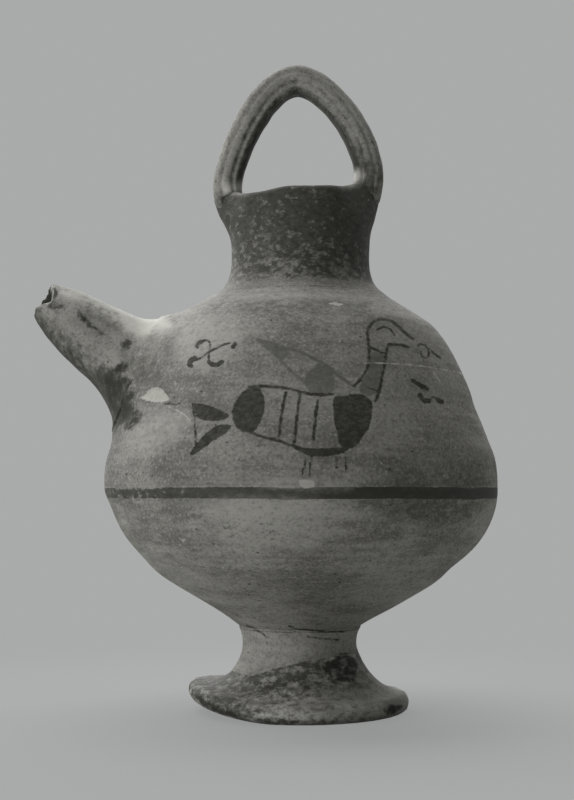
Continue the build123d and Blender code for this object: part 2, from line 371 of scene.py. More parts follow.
def marks_distance(across, down, lines=(), fills=()):
    """Distance in mm to the nearest of a set of brushed lines and filled shapes."""
    nearest = np.full(len(across), FAR_AWAY)
    for points, half_width in lines:
        nearest = np.minimum(nearest, PIXEL * line_distance(across, down, eased(points, False)) - half_width)
    for points in fills:
        nearest = np.minimum(nearest, PIXEL * fill_distance(across, down, eased(points, True)))
    return nearest


figure_lines = brushed(BIRD_LINES, BRUSH) + brushed(THIN_LINES, FINE_BRUSH)
figure_lines += brushed(THICK_LINES, BROAD_BRUSH)
print("brushed lines of the figure:", len(figure_lines))

# %% [markdown]
# ## Age
# Long years in the ground left their marks: a flake off the wall below the spout with a crack behind it, a
# long scratch across the bird's neck, bare pale spots along the belly, and the smudged remains of a dark
# coat round the root of the spout. Most are too shallow to be modelled, so they are given in the same way
# as the brushwork, as places in the photograph. The flake and the cracks are pressed in as well. Beside
# them lie painted light on top of the spout, painted shade on the low edges of the plate, and painted
# shade mixed with coat on the right of the belly band.

# %% Note the bare and pale places
FLAKES = {
    "spout_flake": [(139, 398), (146, 393), (151, 387), (160, 387), (165, 393), (169, 398), (166, 401),
                    (152, 402)],
}
CHIPS = {
    "belly_spot": [(299, 481), (305, 479), (313, 481), (316, 486), (308, 489), (300, 487)],
    "neck_foot_chip": [(327, 303), (337, 302), (346, 304), (336, 306)],
}
RUBS = {
    "belly_rub": [(258, 481), (285, 478), (335, 479), (356, 484), (330, 486), (290, 486), (264, 485)],
    "scroll_rub": [(180, 322), (215, 314), (242, 330), (236, 350), (205, 368), (184, 366), (176, 345)],
    "under_band_rub": [(205, 501), (260, 500), (318, 501), (322, 514), (270, 521), (215, 517)],
    "neck_foot_rub": [(226, 297), (260, 292), (330, 292), (372, 298), (330, 298), (260, 298)],
    "flake_rub": [(122, 438), (150, 408), (190, 410), (180, 440), (140, 460)],
}
PALE_SMEARS_AND_LIGHT = {
    # Painted light on the top of the spout; the smears by the roots of the handle are pale wear
    "spout_top_painted_light": [(58, 287), (100, 300), (135, 314), (168, 318), (176, 330), (152, 342), (128, 334),
                  (104, 317), (80, 302), (62, 296)],
    "left_root": [(224, 178), (231, 183), (238, 184), (247, 181), (249, 190), (240, 193), (229, 194),
                  (224, 189)],
    "right_root": [(339, 187), (348, 181), (353, 172), (360, 169), (367, 177), (360, 183), (350, 187)],
}
SCRATCHES = {
    "neck_scratch": [(358, 363), (382, 363), (411, 365), (436, 368), (464, 374)],
    "flake_scratch": [(168, 407), (176, 410), (184, 415), (190, 421)],
    "breast_scratch": [(377, 458), (385, 468), (387, 475)],
    "scroll_scratch": [(432, 372), (440, 382)],
    "bowl_scratch": [(172, 548), (183, 541), (190, 533)],
    "bowl_cross": [(178, 539), (186, 549)],
}
print("bare and pale places:", sum(map(len, (FLAKES, CHIPS, RUBS, PALE_SMEARS_AND_LIGHT, SCRATCHES))))

# %% Note the dark places
CRACKS = {
    "flake_crack": [(164, 404), (170, 403), (174, 405), (180, 403)],
    "spout_groove": [(80, 311), (83, 318), (92, 326), (105, 335)],
    "stem_wheel_line": [(289, 626), (296, 629), (320, 631), (345, 632)],
    "stem_wheel_line_low": [(308, 637), (325, 639), (340, 640)],
    "stem_crack": [(246, 625), (256, 629), (267, 638)],
    "bowl_nick": [(268, 534), (271, 531), (277, 532)],
}
SMUDGES_AND_SHADE = {
    "spout_spot": [(120, 344), (126, 339), (133, 342), (132, 350), (125, 349)],
    "root_shade": [(101, 386), (110, 374), (120, 364), (126, 361), (129, 366), (126, 376), (134, 380),
                   (141, 390), (140, 399), (134, 404), (141, 414), (136, 424), (126, 432), (119, 436),
                   (114, 420), (108, 402)],
    # The two low edges of the plate are painted shade
    "plate_left_edge_shade": [(189, 693), (200, 703), (215, 711), (240, 718), (232, 722), (208, 716),
                        (194, 706)],
    "plate_right_edge_shade": [(388, 706), (398, 704), (405, 700), (406, 708), (400, 714), (390, 717),
                         (384, 713)],
    "broken_end": [(53, 283), (46, 290), (45, 300), (47, 308), (52, 310), (60, 308), (67, 305), (54, 300)],
    "groove_stain": [(76, 310), (84, 316), (94, 325), (105, 335), (96, 332), (84, 324), (78, 317)],
    "plate_stain": [(318, 664), (345, 652), (357, 655), (362, 668), (352, 682), (332, 678)],
}
FAINT_SMUDGES_AND_SHADE = {
    "spout_top_stain": [(164, 332), (174, 324), (177, 336), (172, 352), (166, 360), (162, 348)],
    "spout_top_flakes": [(78, 297), (100, 305), (122, 320), (120, 330), (100, 318), (84, 308)],
    "spout_back_stain": [(154, 370), (162, 372), (168, 380), (168, 391), (160, 388), (154, 380)],
    "root_speckle": [(120, 352), (140, 352), (160, 360), (166, 378), (150, 384), (136, 378), (126, 364)],
    "neck_foot_dashes": [(232, 303), (280, 300), (350, 302), (372, 308), (320, 310), (250, 312)],
    # The right of the belly band is painted shade, mixed with remains of the coat
    "band_shade": [(345, 499), (400, 498), (492, 496), (485, 514), (450, 524), (395, 520), (365, 510)],
    "over_band_shade": [(385, 478), (420, 472), (465, 472), (488, 480), (490, 490), (400, 490)],
    "bowl_patch": [(372, 528), (392, 526), (402, 534), (396, 542), (380, 538)],
}
print("dark places:", len(CRACKS) + len(SMUDGES_AND_SHADE) + len(FAINT_SMUDGES_AND_SHADE))

# %% Keep the marks at the vertices
# Half the width of a scratch and of a crack, in mm
SCRATCH, CRACK = 0.16, 0.22
MARK_SHAPES = {
    "figure": dict(lines=figure_lines, fills=BIRD_FILLS.values()),
    "wash": dict(lines=brushed(WING_LINES, BRUSH), fills=THIN_FILLS.values()),
    "chip": dict(lines=brushed(SCRATCHES, SCRATCH), fills=[*CHIPS.values(), *FLAKES.values()]),
    "crack": dict(lines=brushed(CRACKS, CRACK)),
    "smudge_and_shade": dict(fills=SMUDGES_AND_SHADE.values()),
    "speckle_and_shade": dict(fills=FAINT_SMUDGES_AND_SHADE.values()),
    "rub": dict(fills=RUBS.values()),
    "smear": dict(fills=PALE_SMEARS_AND_LIGHT.values()),
}
# Marks stay on the front: no further back than some mm, nor on a wall that faces back by more than a share
FRONT_LIMIT, FACING_LIMIT = 15.0, 0.5
# Where a wall turns away from the camera, marks draw in by some mm over part of a turn; smudges start early
LIMB_FADE, LIMB_TURN = 6.0, 0.5
LIMB_EARLY = {"smudge_and_shade": 0.5, "speckle_and_shade": 0.5}


def points_of(mesh):
    """The places of a mesh's vertices, in mm."""
    flat = np.empty(3 * len(mesh.vertices), np.float32)
    mesh.vertices.foreach_get("co", flat)
    return flat.reshape(-1, 3).astype(float) / MM


def normals_of(mesh):
    """The directions in which a mesh's vertices face."""
    flat = np.empty(3 * len(mesh.vertices), np.float32)
    mesh.vertices.foreach_get("normal", flat)
    return flat.reshape(-1, 3).astype(float)


def place_points(mesh, points):
    """Moves a mesh's vertices to places in mm."""
    mesh.vertices.foreach_set("co", (points * MM).astype(np.float32).ravel())
    mesh.update()


def set_attribute(mesh, name, values):
    """Keeps one number for each vertex of a mesh, for the materials to read."""
    attribute = mesh.attributes.new(name, "FLOAT", "POINT")
    attribute.data.foreach_set("value", np.asarray(values, np.float32))


def brushwork(mesh, outside):
    """Gives each vertex of a mesh its distance in mm to paint, marks of age, and painted light and shade."""
    points, facing = points_of(mesh), normals_of(mesh)[:, 1]
    across, down = in_photo(points)
    front = outside & (points[:, 1] < FRONT_LIMIT) & (facing < FACING_LIMIT)
    for name, shapes in MARK_SHAPES.items():
        distance = np.full(len(points), FAR_AWAY)
        distance[front] = marks_distance(across[front], down[front], **shapes)
        start = -LIMB_EARLY.get(name, 0)
        set_attribute(mesh, name, distance + LIMB_FADE * ramp(facing, start, start + LIMB_TURN))


print("kinds of mark:", ", ".join(MARK_SHAPES))

# %% [markdown]
# ## Fired clay
# The body is a fine, pale, low-fired clay. To the eye it is matt and clouded, with level streaks from the
# wheel, dark specks and pits, and grains that catch the light. What is left of the dark coat lies on top as
# a thin slip that has flaked away in spots. A painted mask could say where, but the flakes are finer than
# the mesh, so the cover at each vertex is compared with a fine noise. The paint, the marks of age, and a
# little painted light and shade follow, layer on layer.

# %% Set the patterns of the clay
NOISE, CELLS = ("ShaderNodeTexNoise", 0), ("ShaderNodeTexVoronoi", "Distance")
# Patterns: a texture, how flat the wheel drew it, and its sockets, with its size in mm. Real grains are
# finer than a pixel of the render, so they are drawn coarser.
PATTERNS = {
    "cloud": (NOISE, 1.0, {"Scale": per_size(30.0), "Detail": 5.0, "Roughness": 0.5}),
    "streak": (NOISE, 6.0, {"Scale": per_size(20.0), "Detail": 7.0, "Roughness": 0.7}),
    "fleck": (NOISE, 1.6, {"Scale": per_size(2.4), "Detail": 5.0, "Roughness": 0.68}),
    "flake": (NOISE, 1.6, {"Scale": per_size(3.4), "Detail": 8.0, "Roughness": 0.72}),
    "grain": (NOISE, 1.0, {"Scale": per_size(0.9), "Detail": 2.0, "Roughness": 0.5}),
    "pit": (CELLS, 1.6, {"Scale": per_size(7.0)}),
    "grit": (CELLS, 1.6, {"Scale": per_size(4.6)}),
}


def clay_patterns(tree, made_by):
    """A socket for each pattern of the clay, by name: the wheel (1) drew it flat, and the hand (0) didn't."""
    place = add(tree, "ShaderNodeTexCoord").outputs["Object"]
    patterns = {}
    for name, ((kind, output), flatness, sockets) in PATTERNS.items():
        flat = add(tree, "ShaderNodeMapping", sockets={"Vector": place, "Scale": (1, 1, flatness**made_by)})
        texture = add(tree, kind, sockets={"Vector": flat.outputs[0], **sockets})
        patterns[name] = texture.outputs[output]
    return patterns


print("patterns of the clay:", ", ".join(PATTERNS))

# %% Lay colours over the clay
CLAY_SPECK, SPECK_PALE, PIT_DARK = "#43433D", "#92918C", "#181814"
# Ranges hold two limits of a value, and what it becomes at each. Streak and cloud together dull pale clay.
DULL = (0.86, 1.14, 0.0, 1.0)
# Specks: a pattern, its range and a colour
SPECKS = [
    ("fleck", (0.54, 0.74, 0.0, 0.75), CLAY_SPECK),
    ("fleck", (0.45, 0.28, 0.0, 0.60), SPECK_PALE),
    ("grain", (0.52, 0.74, 0.0, 0.55), CLAY_SPECK),
    ("grain", (0.46, 0.26, 0.0, 0.55), SPECK_PALE),
    ("grit", (0.14, 0.08, 0.0, 0.60), SPECK_PALE),
    ("pit", (0.10, 0.05, 0.0, 0.70), PIT_DARK),
]


def within(limits):
    """A range, as the sockets of a Map Range node."""
    return dict(zip(("From Min", "From Max", "To Min", "To Max"), limits))


def laid_over(tree, colour, layers):
    """A colour with layers over it, each with its cover and its own colour."""
    for cover, tone in layers:
        colour = add(tree, "ShaderNodeMix", {"data_type": "RGBA"}, {0: cover, 6: colour, 7: tone}).outputs[2]
    return colour


def clay_layers(tree, patterns, dull):
    """The dull streaks and clouds of the clay, then its specks."""
    both = add(tree, "ShaderNodeMath", {"operation": "ADD"}, {0: patterns["streak"], 1: patterns["cloud"]})
    clouded = add(tree, "ShaderNodeMapRange", sockets={"Value": both.outputs[0], **within(DULL)})
    yield clouded.outputs[0], linear(dull)
    for name, limits, colour in SPECKS:
        cover = add(tree, "ShaderNodeMapRange", sockets={"Value": patterns[name], **within(limits)})
        yield cover.outputs[0], linear(colour)


print("kinds of speck:", len(SPECKS))

# %% Lay the coat and the marks over the clay
COAT_DARK, COAT_THIN = "#282823", "#45453F"
PAINT_DARK, PAINT_THIN = "#272722", "#474741"
# The pale of a smear is also the painted light on top of the spout
CHIP_BARE, SMEAR_AND_LIGHT_PALE = "#9A9993", "#A3A29C"
# The coat hides this much of the clay; it looks thin over some flecks, but hardly where its cover is high
COAT_HIDES = 0.95
THIN_FLECKS = (0.35, 0.68, 0.0, 1.0)
THICK_COAT = (0.62, 0.80, 1.0, 0.2)
# How worn a mark is: a pattern, and the range over which it takes strength from the mark
WORN = ("fleck", (0.42, 0.68, 0.98, 0.72))
WASHED = ("fleck", (0.40, 0.62, 0.80, 0.46))
RUBBED = ("fleck", (0.40, 0.62, 0.72, 0.38))
FLAKED = ("flake", (0.46, 0.64, 0.97, 0.35))
FAINT = ("flake", (0.42, 0.60, 0.75, 0.10))
# Marks from the lowest up: the pattern that frays the edge and by how many mm, how soft the edge is in mm,
# how worn the mark is, and its colour. A rub is as pale as the pale specks, and a crack as dark as the pits.
MARKS = {
    "rub": ("flake", 9.0, 4.0, RUBBED, SPECK_PALE),
    # Pale smears of wear, and the painted light on top of the spout
    "smear": ("flake", 4.0, 1.8, WORN, SMEAR_AND_LIGHT_PALE),
    # Faint specks of coat, and painted shade by the belly band
    "speckle_and_shade": ("flake", 9.0, 2.6, FAINT, COAT_THIN),
    # Dark smudges of coat, and painted shade on the low edges of the plate
    "smudge_and_shade": ("flake", 4.0, 0.8, FLAKED, COAT_DARK),
    "wash": ("fleck", 1.6, 0.3, WASHED, PAINT_THIN),
    "figure": ("fleck", 1.6, 0.25, WORN, PAINT_DARK),
    "chip": ("fleck", 1.6, 0.2, WORN, CHIP_BARE),
    "crack": ("fleck", 1.6, 0.32, WORN, PIT_DARK),
}


def coat_layer(tree, patterns, flake_edge):
    """Cover and colour of the dark coat and of painted shade: flaked in spots, and paler where thin."""
    coat_and_shade = add(tree, "ShaderNodeAttribute", {"attribute_name": "coat_and_shade"}).outputs["Fac"]
    left = add(tree, "ShaderNodeMath", {"operation": "SUBTRACT"}, {0: coat_and_shade, 1: patterns["flake"]})
    flaked = within((-flake_edge, flake_edge, 0.0, COAT_HIDES))
    cover = add(tree, "ShaderNodeMapRange", sockets={"Value": left.outputs[0], **flaked})
    thin = add(tree, "ShaderNodeMapRange", sockets={"Value": patterns["fleck"], **within(THIN_FLECKS)})
    thick = add(tree, "ShaderNodeMapRange", sockets={"Value": coat_and_shade, **within(THICK_COAT)})
    thinness = add(tree, "ShaderNodeMath", {"operation": "MULTIPLY"},
                   {0: thin.outputs[0], 1: thick.outputs[0]})
    return cover.outputs[0], laid_over(tree, linear(COAT_DARK), [(thinness.outputs[0], linear(COAT_THIN))])


def mark_layers(tree, patterns):
    """The cover of each kind of mark, with a frayed edge and worn inside, and its colour."""
    for name, (fray, width, edge, (wear, limits), colour) in MARKS.items():
        distance = add(tree, "ShaderNodeAttribute", {"attribute_name": name}).outputs["Fac"]
        frayed = add(tree, "ShaderNodeMath", {"operation": "MULTIPLY_ADD"},
                     {0: patterns[fray], 1: width, 2: distance})
        softened = within((width / 2 - edge, width / 2 + edge, 1.0, 0.0))
        cover = add(tree, "ShaderNodeMapRange", {"interpolation_type": "SMOOTHSTEP"},
                    {"Value": frayed.outputs[0], **softened})
        strength = add(tree, "ShaderNodeMapRange", sockets={"Value": patterns[wear], **within(limits)})
        worn = add(tree, "ShaderNodeMath", {"operation": "MULTIPLY"},
                   {0: cover.outputs[0], 1: strength.outputs[0]})
        yield worn.outputs[0], linear(colour)


print("layers of marks:", ", ".join(MARKS))

# %% [markdown]
# ## One finish, several clays
# Every piece could have a material of its own, but they are all one clay. So one function builds the
# finish, and each piece gets its own version: two tones, with or without streaks from the wheel, and a coat
# that flakes with a sharper or a softer edge. Unglazed clay is rough and scatters light evenly, and the
# coat has a faint sheen.

# %% Build the clay materials
# Typical of low-fired earthenware, with less sheen than a closed surface has
CLAY_ROUGH, COAT_ROUGH = 0.86, 0.66
CLAY_IOR, CLAY_SHEEN_SHARE = 1.5, 0.2
# How deep flecks and grains are in the surface, in mm
FLECK_HEIGHT, GRAIN_HEIGHT = 0.14, 0.05
# Pale and dull tone, made by the wheel or the hand, and how soft the edges of flaked coat are. Some clays
# share a tone.
CLAY_PALE, FOOT_PALE, EVEN_DULL = "#868580", "#8A8984", "#706F6B"
WHEEL, HAND = 1, 0
CRISP, SOFT, SOFTEST = 0.05, 0.11, 0.14
CLAYS = {
    # Mid grey, clouded and streaked: the shoulder, the neck and the seams
    "fired_clay_wheel_thrown": ("#7A7974", "#5F5E5B", WHEEL, CRISP),
    # The same clay, a little paler
    "fired_clay_bowl": (CLAY_PALE, "#656460", WHEEL, CRISP),
    # No streaks, and a coat that is rubbed away softly: the spout and the handle
    "fired_clay_rolled": (CLAY_PALE, EVEN_DULL, HAND, SOFTEST),
    # Pale and bare: the stem
    "fired_clay_foot": (FOOT_PALE, EVEN_DULL, WHEEL, SOFT),
    # The palest, which shows through the worn coat of the plate; it is paler still as painted light on the
    # foot
    "fired_clay_foot_plate_and_light": ("#B0AFA9", "#888782", WHEEL, SOFT),
    # Dried slip, even in tone because a finger smoothed it
    "luting_slip_dried": ("#86857F", "#767570", HAND, CRISP),
    # Plaster, toned to match the stem
    "mend_fill_plaster": (FOOT_PALE, EVEN_DULL, HAND, SOFT),
}


def fired_clay(name, pale, dull, made_by, flake_edge):
    """Pale fired clay with what is left of its paint and its dark coat."""
    material, tree = new_material(name)
    patterns = clay_patterns(tree, made_by)
    coat_cover, coat_tone = coat_layer(tree, patterns, flake_edge)
    clay = laid_over(tree, linear(pale), clay_layers(tree, patterns, dull))
    clay = laid_over(tree, clay, [(coat_cover, coat_tone), *mark_layers(tree, patterns)])
    rough = add(tree, "ShaderNodeMapRange",
                sockets={"Value": coat_cover, **within((0.0, 1.0, CLAY_ROUGH, COAT_ROUGH))})
    coarse = add(tree, "ShaderNodeBump", sockets={"Distance": FLECK_HEIGHT * MM, "Height": patterns["fleck"]})
    fine = add(tree, "ShaderNodeBump", sockets={"Distance": GRAIN_HEIGHT * MM, "Height": patterns["grain"],
                                                "Normal": coarse.outputs[0]})
    surface = add(tree, "ShaderNodeBsdfPrincipled",
                  sockets={"Base Color": clay, "Roughness": rough.outputs[0], "IOR": CLAY_IOR,
                           "Specular IOR Level": CLAY_SHEEN_SHARE, "Normal": fine.outputs[0]})
    add(tree, "ShaderNodeOutputMaterial", sockets={"Surface": surface.outputs[0]})
    return material


BODY_CLAY, BOWL_CLAY, ROLLED_CLAY, FOOT_CLAY, PLATE_CLAY_AND_LIGHT, SLIP, FILL = [
    fired_clay(name, *finish) for name, finish in CLAYS.items()
]
print("clay materials:", ", ".join(CLAYS))

# %% [markdown]
# ## Clay that was thrown
# The bowl, the shoulder and the neck were thrown on a wheel, and so are they here: a saw cut through the
# CAD piece gives its section, and spin turns the section round the axis. The CAD triangles could be cut up
# smaller instead, but they are long and uneven, and what is kept at their corners would smear. The new mesh
# is even, and fine at the front where the paint is.

# %% Cut a section
# How near points are, in mm, that become one in a CAD copy
COPY_WELD = 0.002
# Millimetres: how near the saw's plane a point counts as on it, and how far behind the wall one still shows
SAW_SLACK, OUTER_SLACK = 0.001, 0.5


def mesh_from(shape, name):
    """Turns a finished bmesh into a mesh."""
    mesh = bpy.data.meshes.new(name)
    shape.to_mesh(mesh)
    shape.free()
    return mesh


def merged_copy(node):
    """A copy of a CAD node's mesh, its loose triangles joined up."""
    copy = bmesh.new()
    copy.from_mesh(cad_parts[node].data)
    bmesh.ops.remove_doubles(copy, verts=copy.verts, dist=COPY_WELD * MM)
    return copy


def half_section(node):
    """The outline that a saw cut through the axis leaves on a thrown piece, on the camera's side."""
    outline = merged_copy(node)
    for side, far_half in (((1, 0, 0), True), ((0, 1, 0), False)):
        everything = outline.verts[:] + outline.edges[:] + outline.faces[:]
        bmesh.ops.bisect_plane(outline, geom=everything, dist=SAW_SLACK * MM, plane_co=(0, 0, 0),
                               plane_no=side, clear_outer=True, clear_inner=far_half)
    return outline


def outer_edges(outline):
    """The edges of a section that nothing hides from the outside at their own height."""
    ends = np.array([[(-vert.co.y, vert.co.z) for vert in edge.verts] for edge in outline.edges])
    middle = ends.mean(axis=1)
    low, high = ends[:, :, 1].min(axis=1), ends[:, :, 1].max(axis=1)
    found = []
    for edge, (reach, height) in zip(outline.edges, middle):
        level = (low <= height) & (height <= high)
        if reach >= middle[level, 0].max() - OUTER_SLACK * MM:
            found.append(edge)
    return found


neck_outline = half_section("neck")
print("the section of the neck has", len(neck_outline.edges), "edges")
neck_outline.free()

# %% Spin the section
# Degrees of the turn at the front and the back, the steps of each, and the sectors each is made up of
FRONT_TURN, BACK_TURN = 190, 170
FRONT_STEPS, BACK_STEPS = 160, 100
SECTORS = 10
# How near points are, in mm, that become one: along a section and between sectors
SECTION_WELD, SECTOR_WELD = 0.05, 0.01


def spun(section, start, turn, steps):
    """A section spun through part of a turn from a start, in degrees: one sector first, then copies of it."""
    part = section.copy()
    axis = dict(cent=(0, 0, 0), axis=(0, 0, 1))
    turned = Matrix.Rotation(math.radians(start), 3, "Z")
    bmesh.ops.rotate(part, verts=part.verts, cent=(0, 0, 0), matrix=turned)
    bmesh.ops.spin(part, geom=part.verts[:] + part.edges[:], angle=math.radians(turn / SECTORS),
                   steps=steps // SECTORS, **axis)
    bmesh.ops.spin(part, geom=part.verts[:] + part.edges[:] + part.faces[:],
                   angle=math.radians(turn - turn / SECTORS), steps=SECTORS - 1, use_duplicate=True, **axis)
    return part


def thrown(node, step, inner_step, front_steps=FRONT_STEPS):
    """Spins a thrown piece's section, with its points about step mm apart, or inner_step mm where hidden."""
    section = half_section(node)
    shown = {vert for edge in outer_edges(section) for vert in edge.verts}
    hidden = [vert for vert in section.verts if vert not in shown]
    bmesh.ops.remove_doubles(section, verts=hidden, dist=inner_step * MM)
    bmesh.ops.remove_doubles(section, verts=section.verts, dist=SECTION_WELD * MM)
    for edge in outer_edges(section):
        cuts = int(edge.calc_length() / (step * MM))
        if cuts:
            bmesh.ops.subdivide_edges(section, edges=[edge], cuts=cuts)
    whole = bmesh.new()
    side = FRONT_TURN / 2
    for start, turn, steps in ((-side, FRONT_TURN, front_steps), (side, BACK_TURN, BACK_STEPS)):
        part = mesh_from(spun(section, start, turn, steps), "part_of_turn")
        whole.from_mesh(part)
        bpy.data.meshes.remove(part)
    section.free()
    bmesh.ops.remove_doubles(whole, verts=whole.verts, dist=SECTOR_WELD * MM)
    bmesh.ops.holes_fill(whole, edges=[edge for edge in whole.edges if edge.is_boundary])
    bmesh.ops.recalc_face_normals(whole, faces=whole.faces)
    return whole


print("a thrown wall has", FRONT_STEPS, "steps at the front and", BACK_STEPS, "at the back")

# %% [markdown]
# ## The potter's hand
# No thrown wall is a true circle. Each piece could be sculpted on its own, but then seams would open. All
# thrown pieces are moved by one function of the place alone, so that they go out of round together and stay
# closed. Its parts are a slow wobble, the fine ridges that fingertips leave, shallow dents, and the flat or
# full places that the outline in the photograph shows.

# %% Move the walls out of round
# The wobble: its height in mm, its waves round the jug, and the height in mm over which it twists a radian
WOBBLE, WOBBLE_WAVES, WOBBLE_TWIST = 0.12, 3, 50.0
# Ridges: height and pitch in mm, the way they wind, and where they start
RIDGES = [(0.012, 4.9, 1, 0.0), (0.008, 2.7, -1, 1.3)]
# Height of the dents, and their lengths along x and z, then along y and z, in mm
DENT, DENT_X, DENT_XZ, DENT_Y, DENT_YZ = 0.16, 7.3, 9.1, 8.7, 6.3
# Flat and full places: height, reach, side, and how far the wall is moved out, in mm
RIGHT, LEFT = 1, -1
FLATS = [(64.5, 12.5, LEFT, -3.0), (82, 9, LEFT, -0.7), (100, 9, LEFT, -1.2), (41, 8, LEFT, -0.4),
         (42.5, 8, RIGHT, 2.4), (104, 10, RIGHT, -1.2), (146, 5, RIGHT, -1.4), (26, 5, RIGHT, -0.4)]
# The power that keeps them level over most of their reach
FLAT_TOP = 4
# A share from 0 to 1, taken to this power, starts softly
EASE = 1.5
# Within this many mm of the axis, the error fades out
CALM_RADIUS = 12.0


def bell(value, middle, reach, power=2):
    """1 at a middle and softly down to 0 past a reach on both sides; a higher power makes the top flatter."""
    return np.exp(-(((value - middle) / reach) ** power))


def shifted(points, directions, amounts):
    """Points moved along directions, or along one direction, by an amount of mm each."""
    return points + directions * amounts[:, None]


def dots(vectors, directions):
    """How far each vector goes along its direction."""
    return np.sum(vectors * directions, axis=1)


def axis_distance(points):
    """How far points are from the jug's axis."""
    return np.hypot(points[:, 0], points[:, 1])


def from_axis(points):
    """The level directions from the jug's axis to points."""
    return points * (1, 1, 0) / np.maximum(axis_distance(points), TINY)[:, None]


def hand_error(points):
    """How far, in mm, the potter's hand left a thrown wall from a true circle at points in mm."""
    x, y, z = points.T
    turn = np.arctan2(y, x)
    error = WOBBLE * np.sin(WOBBLE_WAVES * turn - z / WOBBLE_TWIST)
    for height, pitch, winding, start in RIDGES:
        error += height * np.sin(2 * np.pi * z / pitch + winding * turn + start)
    error += DENT * np.sin(x / DENT_X + z / DENT_XZ) * np.sin(y / DENT_Y - z / DENT_YZ)
    for height, reach, side, amount in FLATS:
        facing = np.clip(side * np.cos(turn), 0, 1) ** EASE
        error += amount * bell(z, height, reach, FLAT_TOP) * facing
    return error


def thrown_by_hand(points):
    """Points of a thrown piece, moved out or in by the error of the hand."""
    calm = ramp(axis_distance(points), 0, CALM_RADIUS) ** 2
    return shifted(points, from_axis(points), calm * hand_error(points))


def facing_out(mesh):
    """Which vertices of a thrown piece are on its outside."""
    return dots(normals_of(mesh), from_axis(points_of(mesh))) > 0


print("flat and full places in the wall:", len(FLATS))

# %% Make pieces of meshes
# Corners sharper than this stay sharp
SEAM_ANGLE = math.radians(28)


def add_piece(mesh, name, nodes, material):
    """Makes a piece of a mesh: it rides on the jug, stands for its CAD nodes, and keeps its true corners."""
    piece = bpy.data.objects.new(name, mesh)
    scene.collection.objects.link(piece)
    mesh.materials.append(material)
    mesh.shade_smooth()
    mesh.set_sharp_from_angle(angle=SEAM_ANGLE)
    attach(piece, "root")
    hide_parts(*nodes)
    print(name, "has", len(mesh.polygons), "faces")


print("corners stay sharp from", round(math.degrees(SEAM_ANGLE)), "degrees")

# %% [markdown]
# ## Smears
# A potter joins a spout or a handle with slip and smooths the joint with a wet finger, so clay fills the
# corner. A boolean and a bevel could round it, but the pieces have to stay separate. So each vertex that is
# near the neighbour's surface is moved out along its normal, the more the nearer it is. Done to both
# pieces, this gives the soft fillet of two shapes that run together. Where a joint has to stay flush
# instead, the vertices beside it are put back on the CAD surface.

# %% Make the smear


def search_tree(mesh):
    """A tree that finds the point of a mesh nearest to a place."""
    solid = bmesh.new()
    solid.from_mesh(mesh)
    tree = BVHTree.FromBMesh(solid)
    solid.free()
    return tree


def smeared(points, normals, neighbour, reach, fullness):
    """Points moved out along their normals where a neighbour's mesh is nearer than their reach in mm."""
    tree = search_tree(neighbour)
    moved = points.copy()
    for i in np.flatnonzero(reach > 0):
        gap = tree.find_nearest(Vector(points[i]) * MM, reach[i] * MM)[3]
        if gap is not None:
            moved[i] += normals[i] * fullness * (reach[i] - gap / MM) ** 2 / reach[i]
    return moved


def closed_up(points, node, neighbours, reach):
    """Points within reach of a neighbour, put back on their own CAD surface, so the joint has no groove."""
    own = search_tree(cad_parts[node].data)
    moved = points.copy()
    for neighbour in neighbours:
        tree = search_tree(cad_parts[neighbour].data)
        for i, point in enumerate(points):
            if tree.find_nearest(Vector(point) * MM, reach * MM)[0] is not None:
                moved[i] = np.array(own.find_nearest(Vector(point) * MM)[0]) / MM
    return moved


print("smears join the spout to the shoulder, and the handle to the neck")

# %% [markdown]
# ## The bowl and its seams
# The lower half of the body is a deep bowl with the belly band painted just under its edge. The band is
# only slip from a brush, so it is a cover kept at the vertices and not a ring of its own. The rings of slip
# under the bowl, above it and below the neck are thin, but they show as a hair line where they aren't
# flush, so they are spun and moved in the same way as the walls.

# %% Throw the bowl and the slip rings
# Millimetres between the points of a section: on the bowl and rings, inside the body, and inside the rings
BOWL_STEP, BODY_INNER_STEP, RING_INNER_STEP = 0.9, 3.0, 0.4
# The belly band, in mm, its cover, and how far it is worn, mostly at a turn in radians from the left
BAND_LOW, BAND_HIGH, BAND_SOFT = 76.9, 81.4, 0.5
BAND_COVER, BAND_WEAR, WEAR_TURN = 0.92, 0.36, 0.4
# How its edges wander: height in mm, waves round the jug, and where they start
BAND_WANDER = [(0.15, 7, 0), (0.10, 19, 1)]
UP = np.array([0.0, 0.0, 1.0])


def ring_cover(points, low, high, soft):
    """Cover of a painted ring between two heights, worn thin towards its edges."""
    z = points[:, 2]
    return ramp(z, low, low + soft) * ramp(z, high, high - soft)


def band_cover(points):
    """The belly band, all the way round: its edges wander, and it is worn on the left."""
    turn = np.arctan2(points[:, 1], points[:, 0])
    wander = sum(height * np.sin(waves * turn + start) for height, waves, start in BAND_WANDER)
    wear = BAND_WEAR * np.clip(-np.cos(turn - WEAR_TURN), 0, 1)
    return ring_cover(shifted(points, UP, wander), BAND_LOW, BAND_HIGH, BAND_SOFT) * (BAND_COVER - wear)


def finish_thrown(mesh, cover):
    """Gives a thrown mesh its hand-made shape, its brushwork and the cover of its dark coat."""
    outside = facing_out(mesh)
    points = points_of(mesh)
    set_attribute(mesh, "coat_and_shade", np.where(outside, cover(points), 0))
    brushwork(mesh, outside)
    place_points(mesh, thrown_by_hand(points))


bowl = mesh_from(thrown("lower_body", BOWL_STEP, BODY_INNER_STEP), "bowl")
finish_thrown(bowl, band_cover)
add_piece(bowl, "bowl", ["lower_body"], BOWL_CLAY)
for ring in ("stem_luting", "belly_luting", "neck_luting"):
    slip = mesh_from(thrown(ring, BOWL_STEP, RING_INNER_STEP), ring + "_slip")
    finish_thrown(slip, band_cover)
    add_piece(slip, ring + "_slip", [ring], BODY_CLAY)

